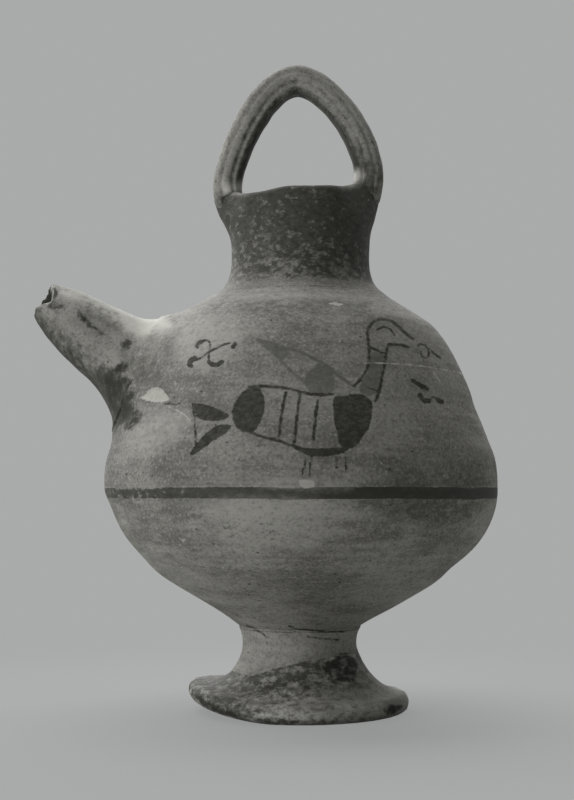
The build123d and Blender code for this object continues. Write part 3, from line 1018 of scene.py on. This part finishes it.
# %% [markdown]
# ## The shoulder
# The upper half of the body carries the bird, so its mesh is the finest: about half a millimetre along the
# wall. The way into the spout could be cut with a boolean, which leaves slivers in so fine a mesh, so the
# faces round the spout's axis are taken out and the two edges bridged. The flake and the crack are pressed
# into the wall, because a real hollow shades as no flat colour does.

# %% Measure from the spout's axis
# The spout's axis: the middle of its mouth in mm, its slope, the way in along it, and the way up across it
SPOUT_MOUTH = np.array([-94.0, 0, 150.0])
SPOUT_SLOPE = math.radians(36.5)
SPOUT_INWARD = np.array([math.cos(SPOUT_SLOPE), 0, -math.sin(SPOUT_SLOPE)])
SPOUT_UPPER = np.array([math.sin(SPOUT_SLOPE), 0, math.cos(SPOUT_SLOPE)])
# The smear round the spout: its reach in mm underneath and on top, how full it is, and its limit in x
SPOUT_SMEAR_LOW, SPOUT_SMEAR_HIGH, SPOUT_FULLNESS = 5.0, 13.5, 0.35
SPOUT_SIDE = -20.0


def by_spout(points):
    """Distances of points along the spout and from its axis, in mm, and from -1 under it to 1 above it."""
    offset = points - SPOUT_MOUTH
    along = offset @ SPOUT_INWARD
    aside = np.linalg.norm(offset - np.outer(along, SPOUT_INWARD), axis=1)
    return along, aside, offset @ SPOUT_UPPER / np.maximum(aside, TINY)


def spout_reach(points):
    """How far the smear round the spout reaches: further on top than underneath."""
    above = by_spout(points)[2]
    return SPOUT_SMEAR_LOW + (SPOUT_SMEAR_HIGH - SPOUT_SMEAR_LOW) * ramp(above, -1, 1)


print("the spout slopes by", round(math.degrees(SPOUT_SLOPE), 1), "degrees")

# %% Find what age did to the shoulder
# Depth of the flake and the crack in mm, and how soft their edges are
FLAKE_DEPTH, FLAKE_EDGE = 0.5, 0.6
CRACK_DEPTH, CRACK_EDGE = 0.35, 0.4
# The stain by the spout's root: its cover, then where it fades, as pairs from none to full, in mm apart
# from the share of the way under the axis; it is wider than high, and stays left of an x
ROOT_COVER = 0.66
ROOT_ALONG, ROOT_SPOT, ROOT_DEPTH, ROOT_UNDER = (28, 35), (31, 23), (14, 4), (0.05, 0.40)
ROOT_WIDENED, ROOT_SIDE = 1.45, -35.0
# What is left of two painted rings under the neck: from and to in mm, softness in mm, and cover
NECK_RINGS = [(147.0, 148.6, 0.7, 0.48), (149.6, 151.4, 0.6, 0.50)]


def root_stain(points):
    """What is left of the coat under and in front of the root of the spout."""
    x, y, _ = points.T
    along, aside, above = by_spout(points)
    spot = np.hypot(y / ROOT_WIDENED, above * aside)
    near = ramp(along, *ROOT_ALONG) * ramp(spot, *ROOT_SPOT) * (x < ROOT_SIDE)
    return ROOT_COVER * near * ramp(-above, *ROOT_UNDER) * ramp(y, *ROOT_DEPTH)


def shoulder_cover(points):
    """What is left of the coat on the shoulder: broken rings under the neck, and a stain by the spout."""
    rings = [cover * ring_cover(points, *ring) for *ring, cover in NECK_RINGS]
    return np.max([*rings, root_stain(points)], axis=0)


def pressed(points, normals):
    """Points pressed in where a flake or a crack is."""
    across, down = in_photo(points)
    flake = marks_distance(across, down, fills=FLAKES.values())
    crack = marks_distance(across, down, lines=brushed(CRACKS, CRACK))
    depth = np.maximum(FLAKE_DEPTH * ramp(flake, FLAKE_EDGE, -FLAKE_EDGE),
                       CRACK_DEPTH * ramp(crack, CRACK_EDGE, -CRACK_EDGE))
    return shifted(points, normals, -depth * (normals[:, 1] < 0))


print("painted rings under the neck:", len(NECK_RINGS))

# %% Throw the shoulder and cut the way into the spout
# Millimetres between the points of its section, the steps of its front, and the radius of the way in, in mm
SHOULDER_STEP, SHOULDER_FRONT_STEPS = 0.52, 310
BORE_RADIUS = 6.9

wall = thrown("upper_body", SHOULDER_STEP, BODY_INNER_STEP, SHOULDER_FRONT_STEPS)
middles = np.array([face.calc_center_median() for face in wall.faces]) / MM
bored = (by_spout(middles)[1] < BORE_RADIUS) & (middles[:, 0] < 0)
bmesh.ops.delete(wall, geom=[face for face, inside in zip(wall.faces[:], bored) if inside], context="FACES")
bmesh.ops.bridge_loops(wall, edges=[edge for edge in wall.edges if edge.is_boundary])
bmesh.ops.recalc_face_normals(wall, faces=wall.faces)
shoulder = mesh_from(wall, "shoulder")
finish_thrown(shoulder, shoulder_cover)
plain_shoulder = shoulder.copy()
skin, out = points_of(shoulder), normals_of(shoulder)
near_spout = np.where(facing_out(shoulder) & (skin[:, 0] < SPOUT_SIDE), spout_reach(skin), 0)
skin = smeared(skin, out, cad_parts["spout"].data, near_spout, SPOUT_FULLNESS)
place_points(shoulder, pressed(skin, out))
add_piece(shoulder, "shoulder", ["upper_body"], BODY_CLAY)

# %% [markdown]
# ## Clay that was rolled and pinched
# The spout, the handle and the broken foot can't be spun, so a copy of the CAD piece is given an even skin
# of small quads by the Remesh modifier, as a sculptor would, and a few rounds of smoothing take off the
# machine-sharp edges. Loose crumbs that the modifier may leave are deleted. Then the same smears and hand
# errors follow.

# %% Give the other pieces an even skin
# How far a round of smoothing takes a vertex towards its neighbours. Each piece has its own number of rounds,
# and its own voxel, which is the size of its quads in mm.
SMOOTH_FACTOR = 0.5
# Lumps are crossing waves: how fast each of two waves goes along x, y and z, and their share of the height
LUMP_WAVES = [((1.0, 0, 0.6), (0, 0.8, -1.0), 1.0), ((1.3, 1.7, 0), (0, 0, 1.9), 0.6)]


def drop_crumbs(skin):
    """Deletes the loose crumbs that a remesh can leave beside the piece."""
    left = set(skin.verts)
    shells = []
    while left:
        shell = {left.pop()}
        front = shell
        while front:
            front = {edge.other_vert(vert) for vert in front for edge in vert.link_edges} - shell
            shell = shell | front
        left -= shell
        shells.append(shell)
    shells.sort(key=len)
    bmesh.ops.delete(skin, geom=[vert for shell in shells[:-1] for vert in shell], context="VERTS")


def even_skin(node, voxel, rounds, name):
    """A smooth, even mesh in the shape of a CAD node, the places of its vertices, and the ways they face."""
    rough = mesh_from(merged_copy(node), "carrier")
    carrier = bpy.data.objects.new("carrier", rough)
    scene.collection.objects.link(carrier)
    remesh = carrier.modifiers.new("even_skin", "REMESH")
    remesh.mode = "VOXEL"
    remesh.voxel_size = voxel * MM
    ready = carrier.evaluated_get(bpy.context.evaluated_depsgraph_get())
    skin = bmesh.new()
    skin.from_mesh(ready.to_mesh())
    bpy.data.objects.remove(carrier)
    bpy.data.meshes.remove(rough)
    drop_crumbs(skin)
    for _ in range(rounds):
        bmesh.ops.smooth_vert(skin, verts=skin.verts, factor=SMOOTH_FACTOR,
                              use_axis_x=True, use_axis_y=True, use_axis_z=True)
    bmesh.ops.recalc_face_normals(skin, faces=skin.faces)
    mesh = mesh_from(skin, name)
    return mesh, points_of(mesh), normals_of(mesh)


def lumps(points, size, height):
    """Small uneven lumps of pinched clay, about size mm wide, in mm of height."""
    turns = points * (2 * np.pi / size)
    waves = [share * np.sin(turns @ one) * np.sin(turns @ other) for one, other, share in LUMP_WAVES]
    return height * sum(waves)


print("even skins replace the CAD triangles of the foot, the spout and the handle")

# %% [markdown]
# ## The spout
# The spout was rolled round a stick and stuck on the shoulder. Its end is broken: the upper lip stands out
# further than the lower one, and a chip is gone on the camera's side. The break could be cut off with a
# jagged shape, but pushing the end in by uneven amounts keeps the even skin.

# %% Break its lip, settle its root and coat it
# The broken lip, in mm: its depth, its chip, how far back it is underneath, and how far it stands out
BREAK_REACH, LIP_CHIP, LIP_BACK, LIP_STAND = 9.0, 4.6, 2.1, 0.8
# Where the chip is round the lip, and the power that makes it narrow
CHIP_TURN, CHIP_NARROW = math.radians(15), 3
# Teeth of the break: height in mm, waves round the lip, and where they start
LIP_TEETH = [(0.20, 5, 0.7), (0.15, 11, 0.0)]
# The spout is slimmed underneath by this many mm, at a distance along it and over a reach
SPOUT_SLIM, SLIM_PLACE, SLIM_REACH = 2.5, 38.0, 11.0
# Between these distances along it, it takes up the hand error of the wall
SETTLE_START, SETTLE_END = 22.0, 38.0
# Cover of the coat on top, how much more coat is painted underneath as shade and how softly that starts,
# and the cover in the bore, which is nearer to the axis than some mm
SPOUT_COVER, UNDER_SHADE_COVER, UNDER_EASE, BORE_COVER, BORE_SEEN = 0.27, 0.44, 1.2, 0.8, 5.5


def broken_lip(points):
    """Points of the spout with its end broken unevenly."""
    along, aside, above = by_spout(points)
    turn = np.arctan2(above * aside, -points[:, 1])
    chip = LIP_CHIP * np.clip(np.cos(turn - CHIP_TURN), 0, 1) ** CHIP_NARROW
    back = LIP_BACK * np.clip(-np.sin(turn), 0, 1) ** 2 - LIP_STAND
    teeth = sum(height * np.sin(waves * turn + start) for height, waves, start in LIP_TEETH)
    return shifted(points, SPOUT_INWARD, ramp(along, BREAK_REACH, 0) ** EASE * (chip + back + teeth))


def settled(points):
    """Points of the spout or its slip: slimmed underneath, and moved with the hand-made wall at the root."""
    along, _, above = by_spout(points)
    under = np.clip(-above, 0, 1) ** 2
    slim = SPOUT_SLIM * under * bell(along, SLIM_PLACE, SLIM_REACH)
    with_wall = shifted(points, thrown_by_hand(points) - points, ramp(along, SETTLE_START, SETTLE_END))
    return shifted(with_wall, SPOUT_UPPER, slim)


def spout_cover(points):
    """The spout's coat: thin on top, painted shade underneath, thicker at the root, and dark inside."""
    _, aside, above = by_spout(points)
    cover = SPOUT_COVER + UNDER_SHADE_COVER * np.clip(-above, 0, 1) ** UNDER_EASE
    return np.where(aside < BORE_SEEN, BORE_COVER, np.maximum(cover, root_stain(points)))


print("the end of the spout is broken up to", BREAK_REACH, "mm deep")

# %% Shape the spout
SPOUT_VOXEL, SPOUT_ROUNDS = 0.5, 3
SPOUT_LUMP, SPOUT_LUMP_HEIGHT = 19.0, 0.14
# Its smear starts at this distance along it, and reaches this share of what the wall's does
SMEAR_START, SMEAR_SHARE = 25.0, 0.8

spout, skin, out = even_skin("spout", SPOUT_VOXEL, SPOUT_ROUNDS, "spout")
along, aside, _ = by_spout(skin)
brushwork(spout, aside > BORE_SEEN)
set_attribute(spout, "coat_and_shade", spout_cover(skin))
near_wall = np.where(along > SMEAR_START, SMEAR_SHARE * spout_reach(skin), 0)
skin = smeared(settled(skin), out, plain_shoulder, near_wall, SPOUT_FULLNESS)
bpy.data.meshes.remove(plain_shoulder)
skin = shifted(skin, out, lumps(skin, SPOUT_LUMP, SPOUT_LUMP_HEIGHT))
place_points(spout, broken_lip(pressed(skin, out)))
add_piece(spout, "spout_tube", ["spout"], ROLLED_CLAY)

# %% Shape the slip at its root
ROOT_SLIP_VOXEL, ROOT_SLIP_ROUNDS = 0.3, 1
SLIP_COVER = 0.4
# How far it stands out from the joint, in mm
SLIP_STAND = 1.2

root_slip, skin, _ = even_skin("spout_luting", ROOT_SLIP_VOXEL, ROOT_SLIP_ROUNDS, "spout_luting_slip")
brushwork(root_slip, np.full(len(skin), True))
set_attribute(root_slip, "coat_and_shade", np.maximum(SLIP_COVER, root_stain(skin)))
along, aside, _ = by_spout(skin)
from_spout_axis = skin - SPOUT_MOUTH - np.outer(along, SPOUT_INWARD)
place_points(root_slip, settled(shifted(skin, from_spout_axis, SLIP_STAND / aside)))
add_piece(root_slip, "spout_luting_slip", ["spout_luting"], SLIP)

# %% [markdown]
# ## The neck
# The neck is a waisted collar that was dipped in the dark coat. Most of the coat is still there near the
# lip, and it is flaked through to the clay lower down and on the left. The lip isn't level: it dips by the
# left root of the handle, where a thumb pressed it. Under the ends of the handle the wall swells out over
# the lapped clay. A lattice could bend all this, but a few soft curves say where and by how much.

# %% Bend the lip and swell the wall
# The height of the lip in the CAD model, in mm
RIM_HEIGHT = 186.0
# The lip, in mm: the zone that moves, its rise, its slope to the left, a thumb's dip, and ripples
LIP_ZONE, LIP_RISE, LIP_SLOPE, LIP_RIPPLE = 9.0, 0.5, 0.035, 0.12
RIPPLE_X, RIPPLE_Y = 2.3, 3.0
THUMB_DIP, THUMB_PLACE, THUMB_WIDTH = 0.9, -15.0, 6.0
# The lip by each leg of the handle: drawn up in mm, between two distances from the axis, and narrowed
LEFT_WEB, LEFT_WEB_START, LEFT_WEB_END = 2.5, 18.0, 25.0
RIGHT_WEB, RIGHT_WEB_START, RIGHT_WEB_END = 3.8, 12.0, 23.0
WEB_NARROW = 0.5
# The swelling over each end of the handle, in mm, between two heights; its width; the radii where it grows
LEFT_SWELL, LEFT_SWELL_LOW, LEFT_SWELL_HIGH = 3.8, 169.0, 183.0
RIGHT_SWELL, RIGHT_SWELL_LOW, RIGHT_SWELL_HIGH = 2.2, 171.0, 185.0
SWELL_WIDTH, SWELL_INSIDE, SWELL_OUTSIDE = 9.5, 23.5, 26.0
# How far each leg of the handle is pushed to the left, at a height and over a reach, in mm
LEFT_KICK, LEFT_KICK_HEIGHT, LEFT_KICK_REACH = 1.3, 190.0, 9.0
RIGHT_TUCK, RIGHT_TUCK_HEIGHT, RIGHT_TUCK_REACH = 1.4, 183.0, 7.0
KICK_START, KICK_FULL = 178.0, 186.0


def uneven_lip(points):
    """Points of the neck with the lip dipping at the left, and drawn up against the legs of the handle."""
    x, y, z = points.T
    share = ramp(z, RIM_HEIGHT - LIP_ZONE, RIM_HEIGHT) ** EASE
    left, right = rising(-x, LEFT_WEB_START, LEFT_WEB_END), rising(x, RIGHT_WEB_START, RIGHT_WEB_END)
    dip = THUMB_DIP * bell(x, THUMB_PLACE, THUMB_WIDTH)
    ripple = LIP_RIPPLE * np.sin(x / RIPPLE_X) * np.sin(y / RIPPLE_Y)
    moved = points.copy()
    moved[:, 1] *= 1 - share * WEB_NARROW * (left + right)
    moved[:, 2] += share * (LIP_RISE + LIP_SLOPE * x - dip + ripple + LEFT_WEB * left + RIGHT_WEB * right)
    return moved


def leg_push(points):
    """How far the feet of the handle are pushed to the left, in mm."""
    x, _, z = points.T
    kick = LEFT_KICK * bell(z, LEFT_KICK_HEIGHT, LEFT_KICK_REACH)
    tuck = RIGHT_TUCK * bell(z, RIGHT_TUCK_HEIGHT, RIGHT_TUCK_REACH)
    return np.where(x < 0, kick * ramp(z, KICK_START, KICK_FULL), tuck)


def root_swell(points):
    """How far the neck swells out over the ends of the handle, in mm."""
    x, y, z = points.T
    aside = np.arctan2(y, np.abs(x)) * axis_distance(points)
    left = LEFT_SWELL * rising(z, LEFT_SWELL_LOW, LEFT_SWELL_HIGH) + leg_push(points)
    right = RIGHT_SWELL * rising(z, RIGHT_SWELL_LOW, RIGHT_SWELL_HIGH)
    return np.where(x < 0, left, right) * bell(aside, 0, SWELL_WIDTH)


def swollen(points):
    """Points of the neck, swollen out over the ends of the handle."""
    outer = ramp(axis_distance(points), SWELL_INSIDE, SWELL_OUTSIDE)
    return shifted(points, from_axis(points), root_swell(points) * outer)


print("the neck swells by up to", LEFT_SWELL, "mm on the left and", RIGHT_SWELL, "mm on the right")

# %% Throw the neck
NECK_STEP, NECK_INNER_STEP = 0.6, 1.2
# The coat: its least cover, then what is added towards the lip and the right and taken away at the foot,
# each between two places in mm
NECK_COVER, LIP_COVER, RIGHT_COVER, FOOT_LOSS = 0.49, 0.10, 0.03, 0.25
LIP_COAT, RIGHT_COAT, FOOT_COAT = (156, 176), (-12, 18), (154.5, 152.5)


def neck_cover(points):
    """The coat of the neck: full at the lip, and flaked at its foot and on the left."""
    x, _, z = points.T
    gain = LIP_COVER * ramp(z, *LIP_COAT) + RIGHT_COVER * ramp(x, *RIGHT_COAT)
    return NECK_COVER + gain - FOOT_LOSS * ramp(z, *FOOT_COAT)


neck = mesh_from(thrown("neck", NECK_STEP, NECK_INNER_STEP), "neck")
skin, outside = points_of(neck), facing_out(neck)
set_attribute(neck, "coat_and_shade", np.where(outside, neck_cover(skin), 0))
place_points(neck, uneven_lip(swollen(thrown_by_hand(skin))))
brushwork(neck, outside)
add_piece(neck, "neck_collar", ["neck"], BODY_CLAY)

# %% [markdown]
# ## The handle
# The handle is a pulled roll of clay with finger flutes along it, bent over the mouth and lapped on the
# neck. Its coat is rubbed pale on the outside, where hands and soil wore it, and thicker inside the arch
# and in the flutes, where it is painted shade. It leans a little to the left. The flutes could be carved
# again, but a much smoother copy of the same skin tells where they are: it lies above them, and they are
# deepened there.

# %% Lean, lap and coat it
# The lean of the crown to the left, in mm, and the heights between which it grows
HANDLE_LEAN, LEAN_START, LEAN_FULL = 1.0, 212.0, 228.0
# The lapped ends, in mm: their CAD radii outside and inside, the thickness they are pressed to, how far
# under the skin of the neck they lie, and over what height below the rim the pressing begins
LAP_OUTER, LAP_INNER, LAP_THIN, LAP_SUNK, LAP_FADE = 31.5, 24.5, 1.2, 0.8, 5.0
# The smear at each end, in mm, how full it is, and where it may be: over a height from the rim, below a
# top, and further out than this
LEFT_SMEAR, RIGHT_SMEAR, HANDLE_FULLNESS = 5.0, 8.0, 0.25
SMEAR_RISE, SMEAR_TOP, SMEAR_SIDE = 1.5, 202.0, 10.0
# The coat: its least cover, the painted shade added inside the arch and for each mm of flute, and the roots
HANDLE_COVER, ARCH_SHADE_COVER, FLUTE_SHADE_COVER, LEG_COVER = 0.26, 0.49, 0.15, 0.24
ARCH_HALF_WIDTH, CROWN_SHARE, FLUTE_FULL = 25.0, 0.8, 0.4
LEFT_LEG_COAT, RIGHT_LEG_COAT, LEG_COAT_FADE = 194, 206, 10


def leaning(points):
    """Points of the handle, with both legs pushed to the left at their feet and the crown leaning left."""
    moved = points.copy()
    moved[:, 0] -= HANDLE_LEAN * ramp(points[:, 2], LEAN_START, LEAN_FULL) + leg_push(points)
    return moved


def wall_radius(node, heights):
    """The outer radius of a thrown CAD piece at each height, in mm."""
    outline = half_section(node)
    places = sorted({(vert.co.z, -vert.co.y) for edge in outer_edges(outline) for vert in edge.verts})
    outline.free()
    z, radius = np.array(places).T / MM
    return np.interp(heights, z, radius)


def pressed_on(points):
    """Points of the handle or its slip, with the lapped end pressed flat just under the skin of the neck."""
    z, radius = points[:, 2], axis_distance(points)
    skin_radius = wall_radius("neck", z) + root_swell(points) - LAP_SUNK
    flat = skin_radius - LAP_THIN * ramp(radius, LAP_OUTER, LAP_INNER)
    share = rising(z, RIM_HEIGHT, RIM_HEIGHT - LAP_FADE)
    return shifted(points, from_axis(points), share * (np.minimum(flat, radius) - radius))


def handle_reach(points):
    """How far the smear at the ends of the handle reaches above the rim: a fuller fillet on the right."""
    x, _, z = points.T
    reach = np.where(x < 0, LEFT_SMEAR, RIGHT_SMEAR) * ramp(z, RIM_HEIGHT, RIM_HEIGHT + SMEAR_RISE)
    return np.where((z < SMEAR_TOP) & (np.abs(x) > SMEAR_SIDE), reach, 0)


def handle_cover(points, normals, hollow):
    """Handle coat: thin outside, thicker at the roots, and painted shade inside the arch and in flutes."""
    x, _, z = points.T
    inside = np.clip(-(normals[:, 0] * x / ARCH_HALF_WIDTH + normals[:, 2] * CROWN_SHARE), 0, 1)
    leg_top = np.where(x < 0, LEFT_LEG_COAT, RIGHT_LEG_COAT)
    gain = ARCH_SHADE_COVER * inside + FLUTE_SHADE_COVER * np.clip(hollow, 0, FLUTE_FULL)
    return HANDLE_COVER + gain + LEG_COVER * ramp(z, leg_top, leg_top - LEG_COAT_FADE)


print("the crown of the handle leans by", HANDLE_LEAN, "mm")

# %% Shape the handle
HANDLE_VOXEL, HANDLE_ROUNDS, NO_FLUTE_ROUNDS = 0.5, 2, 14
HANDLE_LUMP, HANDLE_LUMP_HEIGHT = 15.0, 0.12
# How much deeper the flutes are made, up to a depth in mm
FLUTE_GAIN, FLUTE_DEPTH = 1.1, 1.0
# Vertices that face further back than this carry no marks
HANDLE_FACING = 0.3

handle, skin, out = even_skin("handle", HANDLE_VOXEL, HANDLE_ROUNDS, "handle")
no_flutes, smooth_skin, _ = even_skin("handle", HANDLE_VOXEL, NO_FLUTE_ROUNDS, "no_flutes")
bpy.data.meshes.remove(no_flutes)
hollow = dots(smooth_skin - skin, out)
set_attribute(handle, "coat_and_shade", handle_cover(skin, out, hollow))
brushwork(handle, out[:, 1] < HANDLE_FACING)
place_points(handle, pressed_on(shifted(skin, out, -FLUTE_GAIN * np.clip(hollow, 0, FLUTE_DEPTH))))
skin, out = points_of(handle), normals_of(handle)
inner_share = 1 - np.clip(dots(out, from_axis(skin)), 0, 1)
skin = smeared(skin, out, neck, handle_reach(skin) * inner_share, HANDLE_FULLNESS)
skin = shifted(skin, out, lumps(skin, HANDLE_LUMP, HANDLE_LUMP_HEIGHT))
place_points(handle, leaning(skin))
add_piece(handle, "handle_arch", ["handle"], ROLLED_CLAY)

# %% [markdown]
# ## Slip under the handle
# The slip that holds the handle was squeezed out on the lip at both ends, and smoothed with a finger. The
# plain CAD pads would show as hard steps, so they are softened in the same way as the other pieces, and
# follow the lip and the lean of the handle.

# %% Soften the slip
PAD_VOXEL, PAD_ROUNDS = 0.25, 3
PAD_COVER = 0.3

for side in ("left", "right"):
    node = "handle_luting_" + side
    pad, skin, out = even_skin(node, PAD_VOXEL, PAD_ROUNDS, node + "_smear")
    set_attribute(pad, "coat_and_shade", np.full(len(skin), PAD_COVER))
    brushwork(pad, out[:, 1] < HANDLE_FACING)
    place_points(pad, uneven_lip(leaning(pressed_on(skin))))
    add_piece(pad, node + "_smear", [node], SLIP)

# %% [markdown]
# ## The foot
# The foot broke off through the stem and was mended: the plate below the break keeps its dark coat, and the
# stem above it is bare and smooth. The plate warped in the kiln, so its left edge stands off the table. A
# Simple Deform modifier could bend it, but the bend has to die out towards the stem, so the lift is a
# function of the place.

# %% Warp the plate and coat it
# The warp: how far the left edge lifts in mm, the share by which it is drawn out, the way it goes in plan,
# where it starts and how long it is in mm, and the heights where the foot is stiff and where it gives way
PLATE_LIFT, PLATE_STRETCH = 4.6, 0.035
WARP_WAY = np.array([-0.97, 0.10])
WARP_START, WARP_LENGTH, WARP_LIMIT = 6.0, 32.0, 1.1
STIFF_HEIGHT, LOOSE_HEIGHT = 14.0, 7.0
# Cover of the coat at the break, on the plate, and on its low edge, where it is partly painted shade, how
# it fades to the right for each mm, and the places in mm over which it changes
BREAK_COVER, PLATE_COVER, EDGE_COAT_AND_SHADE, RIGHT_FADE = 0.58, 0.42, 0.53, 0.0045
BREAK_COAT, RIM_COAT, LOW_COAT, LEFT_COAT = (6, 14), (35, 37), (3.4, 1.4), (-18, -28)
# The coat ends softly within this many mm of the break
BREAK_SOFT = 0.4
COATED_BELOW = [(150, 672), (225, 672), (240, 674), (252, 678), (262, 673), (272, 668), (280, 669),
                (290, 666), (300, 661), (315, 659), (330, 658), (338, 656), (341, 650), (345, 656),
                (357, 653), (450, 653), (450, 760), (150, 760)]


def warped_plate(points):
    """Points of the foot with the left edge of the plate lifted and drawn out, and the stem left as it is."""
    outward = np.clip((points[:, :2] @ WARP_WAY - WARP_START) / WARP_LENGTH, 0, WARP_LIMIT)
    give = ramp(points[:, 2], STIFF_HEIGHT, LOOSE_HEIGHT)
    moved = points.copy()
    moved[:, 0] *= 1 + PLATE_STRETCH * outward * give
    moved[:, 2] += PLATE_LIFT * outward**EASE * give
    return moved


def foot_cover(points, beyond=0.0):
    """The coat of the foot, worn on the plate and darker on its edge, partly as painted shade; it ends
    beyond mm past the old break.
    """
    x, y, z = points.T
    across, down = in_photo(np.column_stack([x, -np.abs(y), z]))
    distance = PIXEL * fill_distance(across, down, np.array(COATED_BELOW, float))
    cover = PLATE_COVER + (BREAK_COVER - PLATE_COVER) * ramp(z, *BREAK_COAT) - RIGHT_FADE * x
    edge = ramp(axis_distance(points), *RIM_COAT) * np.maximum(ramp(z, *LOW_COAT), ramp(x, *LEFT_COAT))
    cover = np.minimum(cover + (EDGE_COAT_AND_SHADE - PLATE_COVER) * edge, BREAK_COVER)
    return cover * ramp(distance, beyond + BREAK_SOFT, beyond - BREAK_SOFT)


print("the left edge of the plate lifts by up to", PLATE_LIFT, "mm")

# %% Shape the plate
PLATE_VOXEL, FOOT_ROUNDS = 0.6, 2
# Millimetres beside a joint that stay flush, and how far past the break the coat of the plate goes
JOINT, PLATE_BEYOND = 1.2, 1.0
# Lumps of the plate in mm, and the heights between which they begin and end
PLATE_LUMP, PLATE_LUMP_HEIGHT = 9.0, 0.15
LUMPS_BEGIN, LUMPS_END = (0, 2), (9, 6)

plate, skin, out = even_skin("foot_plate", PLATE_VOXEL, FOOT_ROUNDS, "foot_plate_worn")
set_attribute(plate, "coat_and_shade", foot_cover(skin, PLATE_BEYOND))
brushwork(plate, out[:, 1] < 0)
skin = closed_up(skin, "foot_plate", ["foot_mend"], JOINT)
lumpy = ramp(skin[:, 2], *LUMPS_BEGIN) * ramp(skin[:, 2], *LUMPS_END)
skin = shifted(skin, out, lumpy * lumps(skin, PLATE_LUMP, PLATE_LUMP_HEIGHT))
place_points(plate, thrown_by_hand(warped_plate(skin)))
add_piece(plate, "foot_plate_worn", ["foot_plate"], PLATE_CLAY_AND_LIGHT)

# %% Shape the stem and the mend
STEM_VOXEL, MEND_VOXEL, MEND_ROUNDS = 0.5, 0.25, 0
# How far the fill is smeared out along the wall, in mm
MEND_FILLET = 0.35

stem, skin, out = even_skin("foot_stem", STEM_VOXEL, FOOT_ROUNDS, "foot_stem_bare")
set_attribute(stem, "coat_and_shade", foot_cover(skin))
brushwork(stem, out[:, 1] < 0)
skin = closed_up(skin, "foot_stem", ["foot_mend", "stem_luting"], JOINT)
place_points(stem, thrown_by_hand(pressed(skin, out)))
add_piece(stem, "foot_stem_bare", ["foot_stem"], FOOT_CLAY)

mend, skin, out = even_skin("foot_mend", MEND_VOXEL, MEND_ROUNDS, "foot_mend_fill")
set_attribute(mend, "coat_and_shade", foot_cover(skin))
brushwork(mend, out[:, 1] < 0)
along_wall = shifted(out, from_axis(skin), -dots(out, from_axis(skin)))
place_points(mend, thrown_by_hand(skin + MEND_FILLET * along_wall))
add_piece(mend, "foot_mend_fill", ["foot_mend"], FILL)

# %% [markdown]
# ## Measure
# The visual model is meant to keep the size of the CAD model, so both boxes are printed.

# %% Print both boxes
visual_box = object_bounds()
for name, box in (("CAD", cad_box), ("visual", visual_box)):
    print(name, [round(value / MM, 1) for corner in box for value in corner])
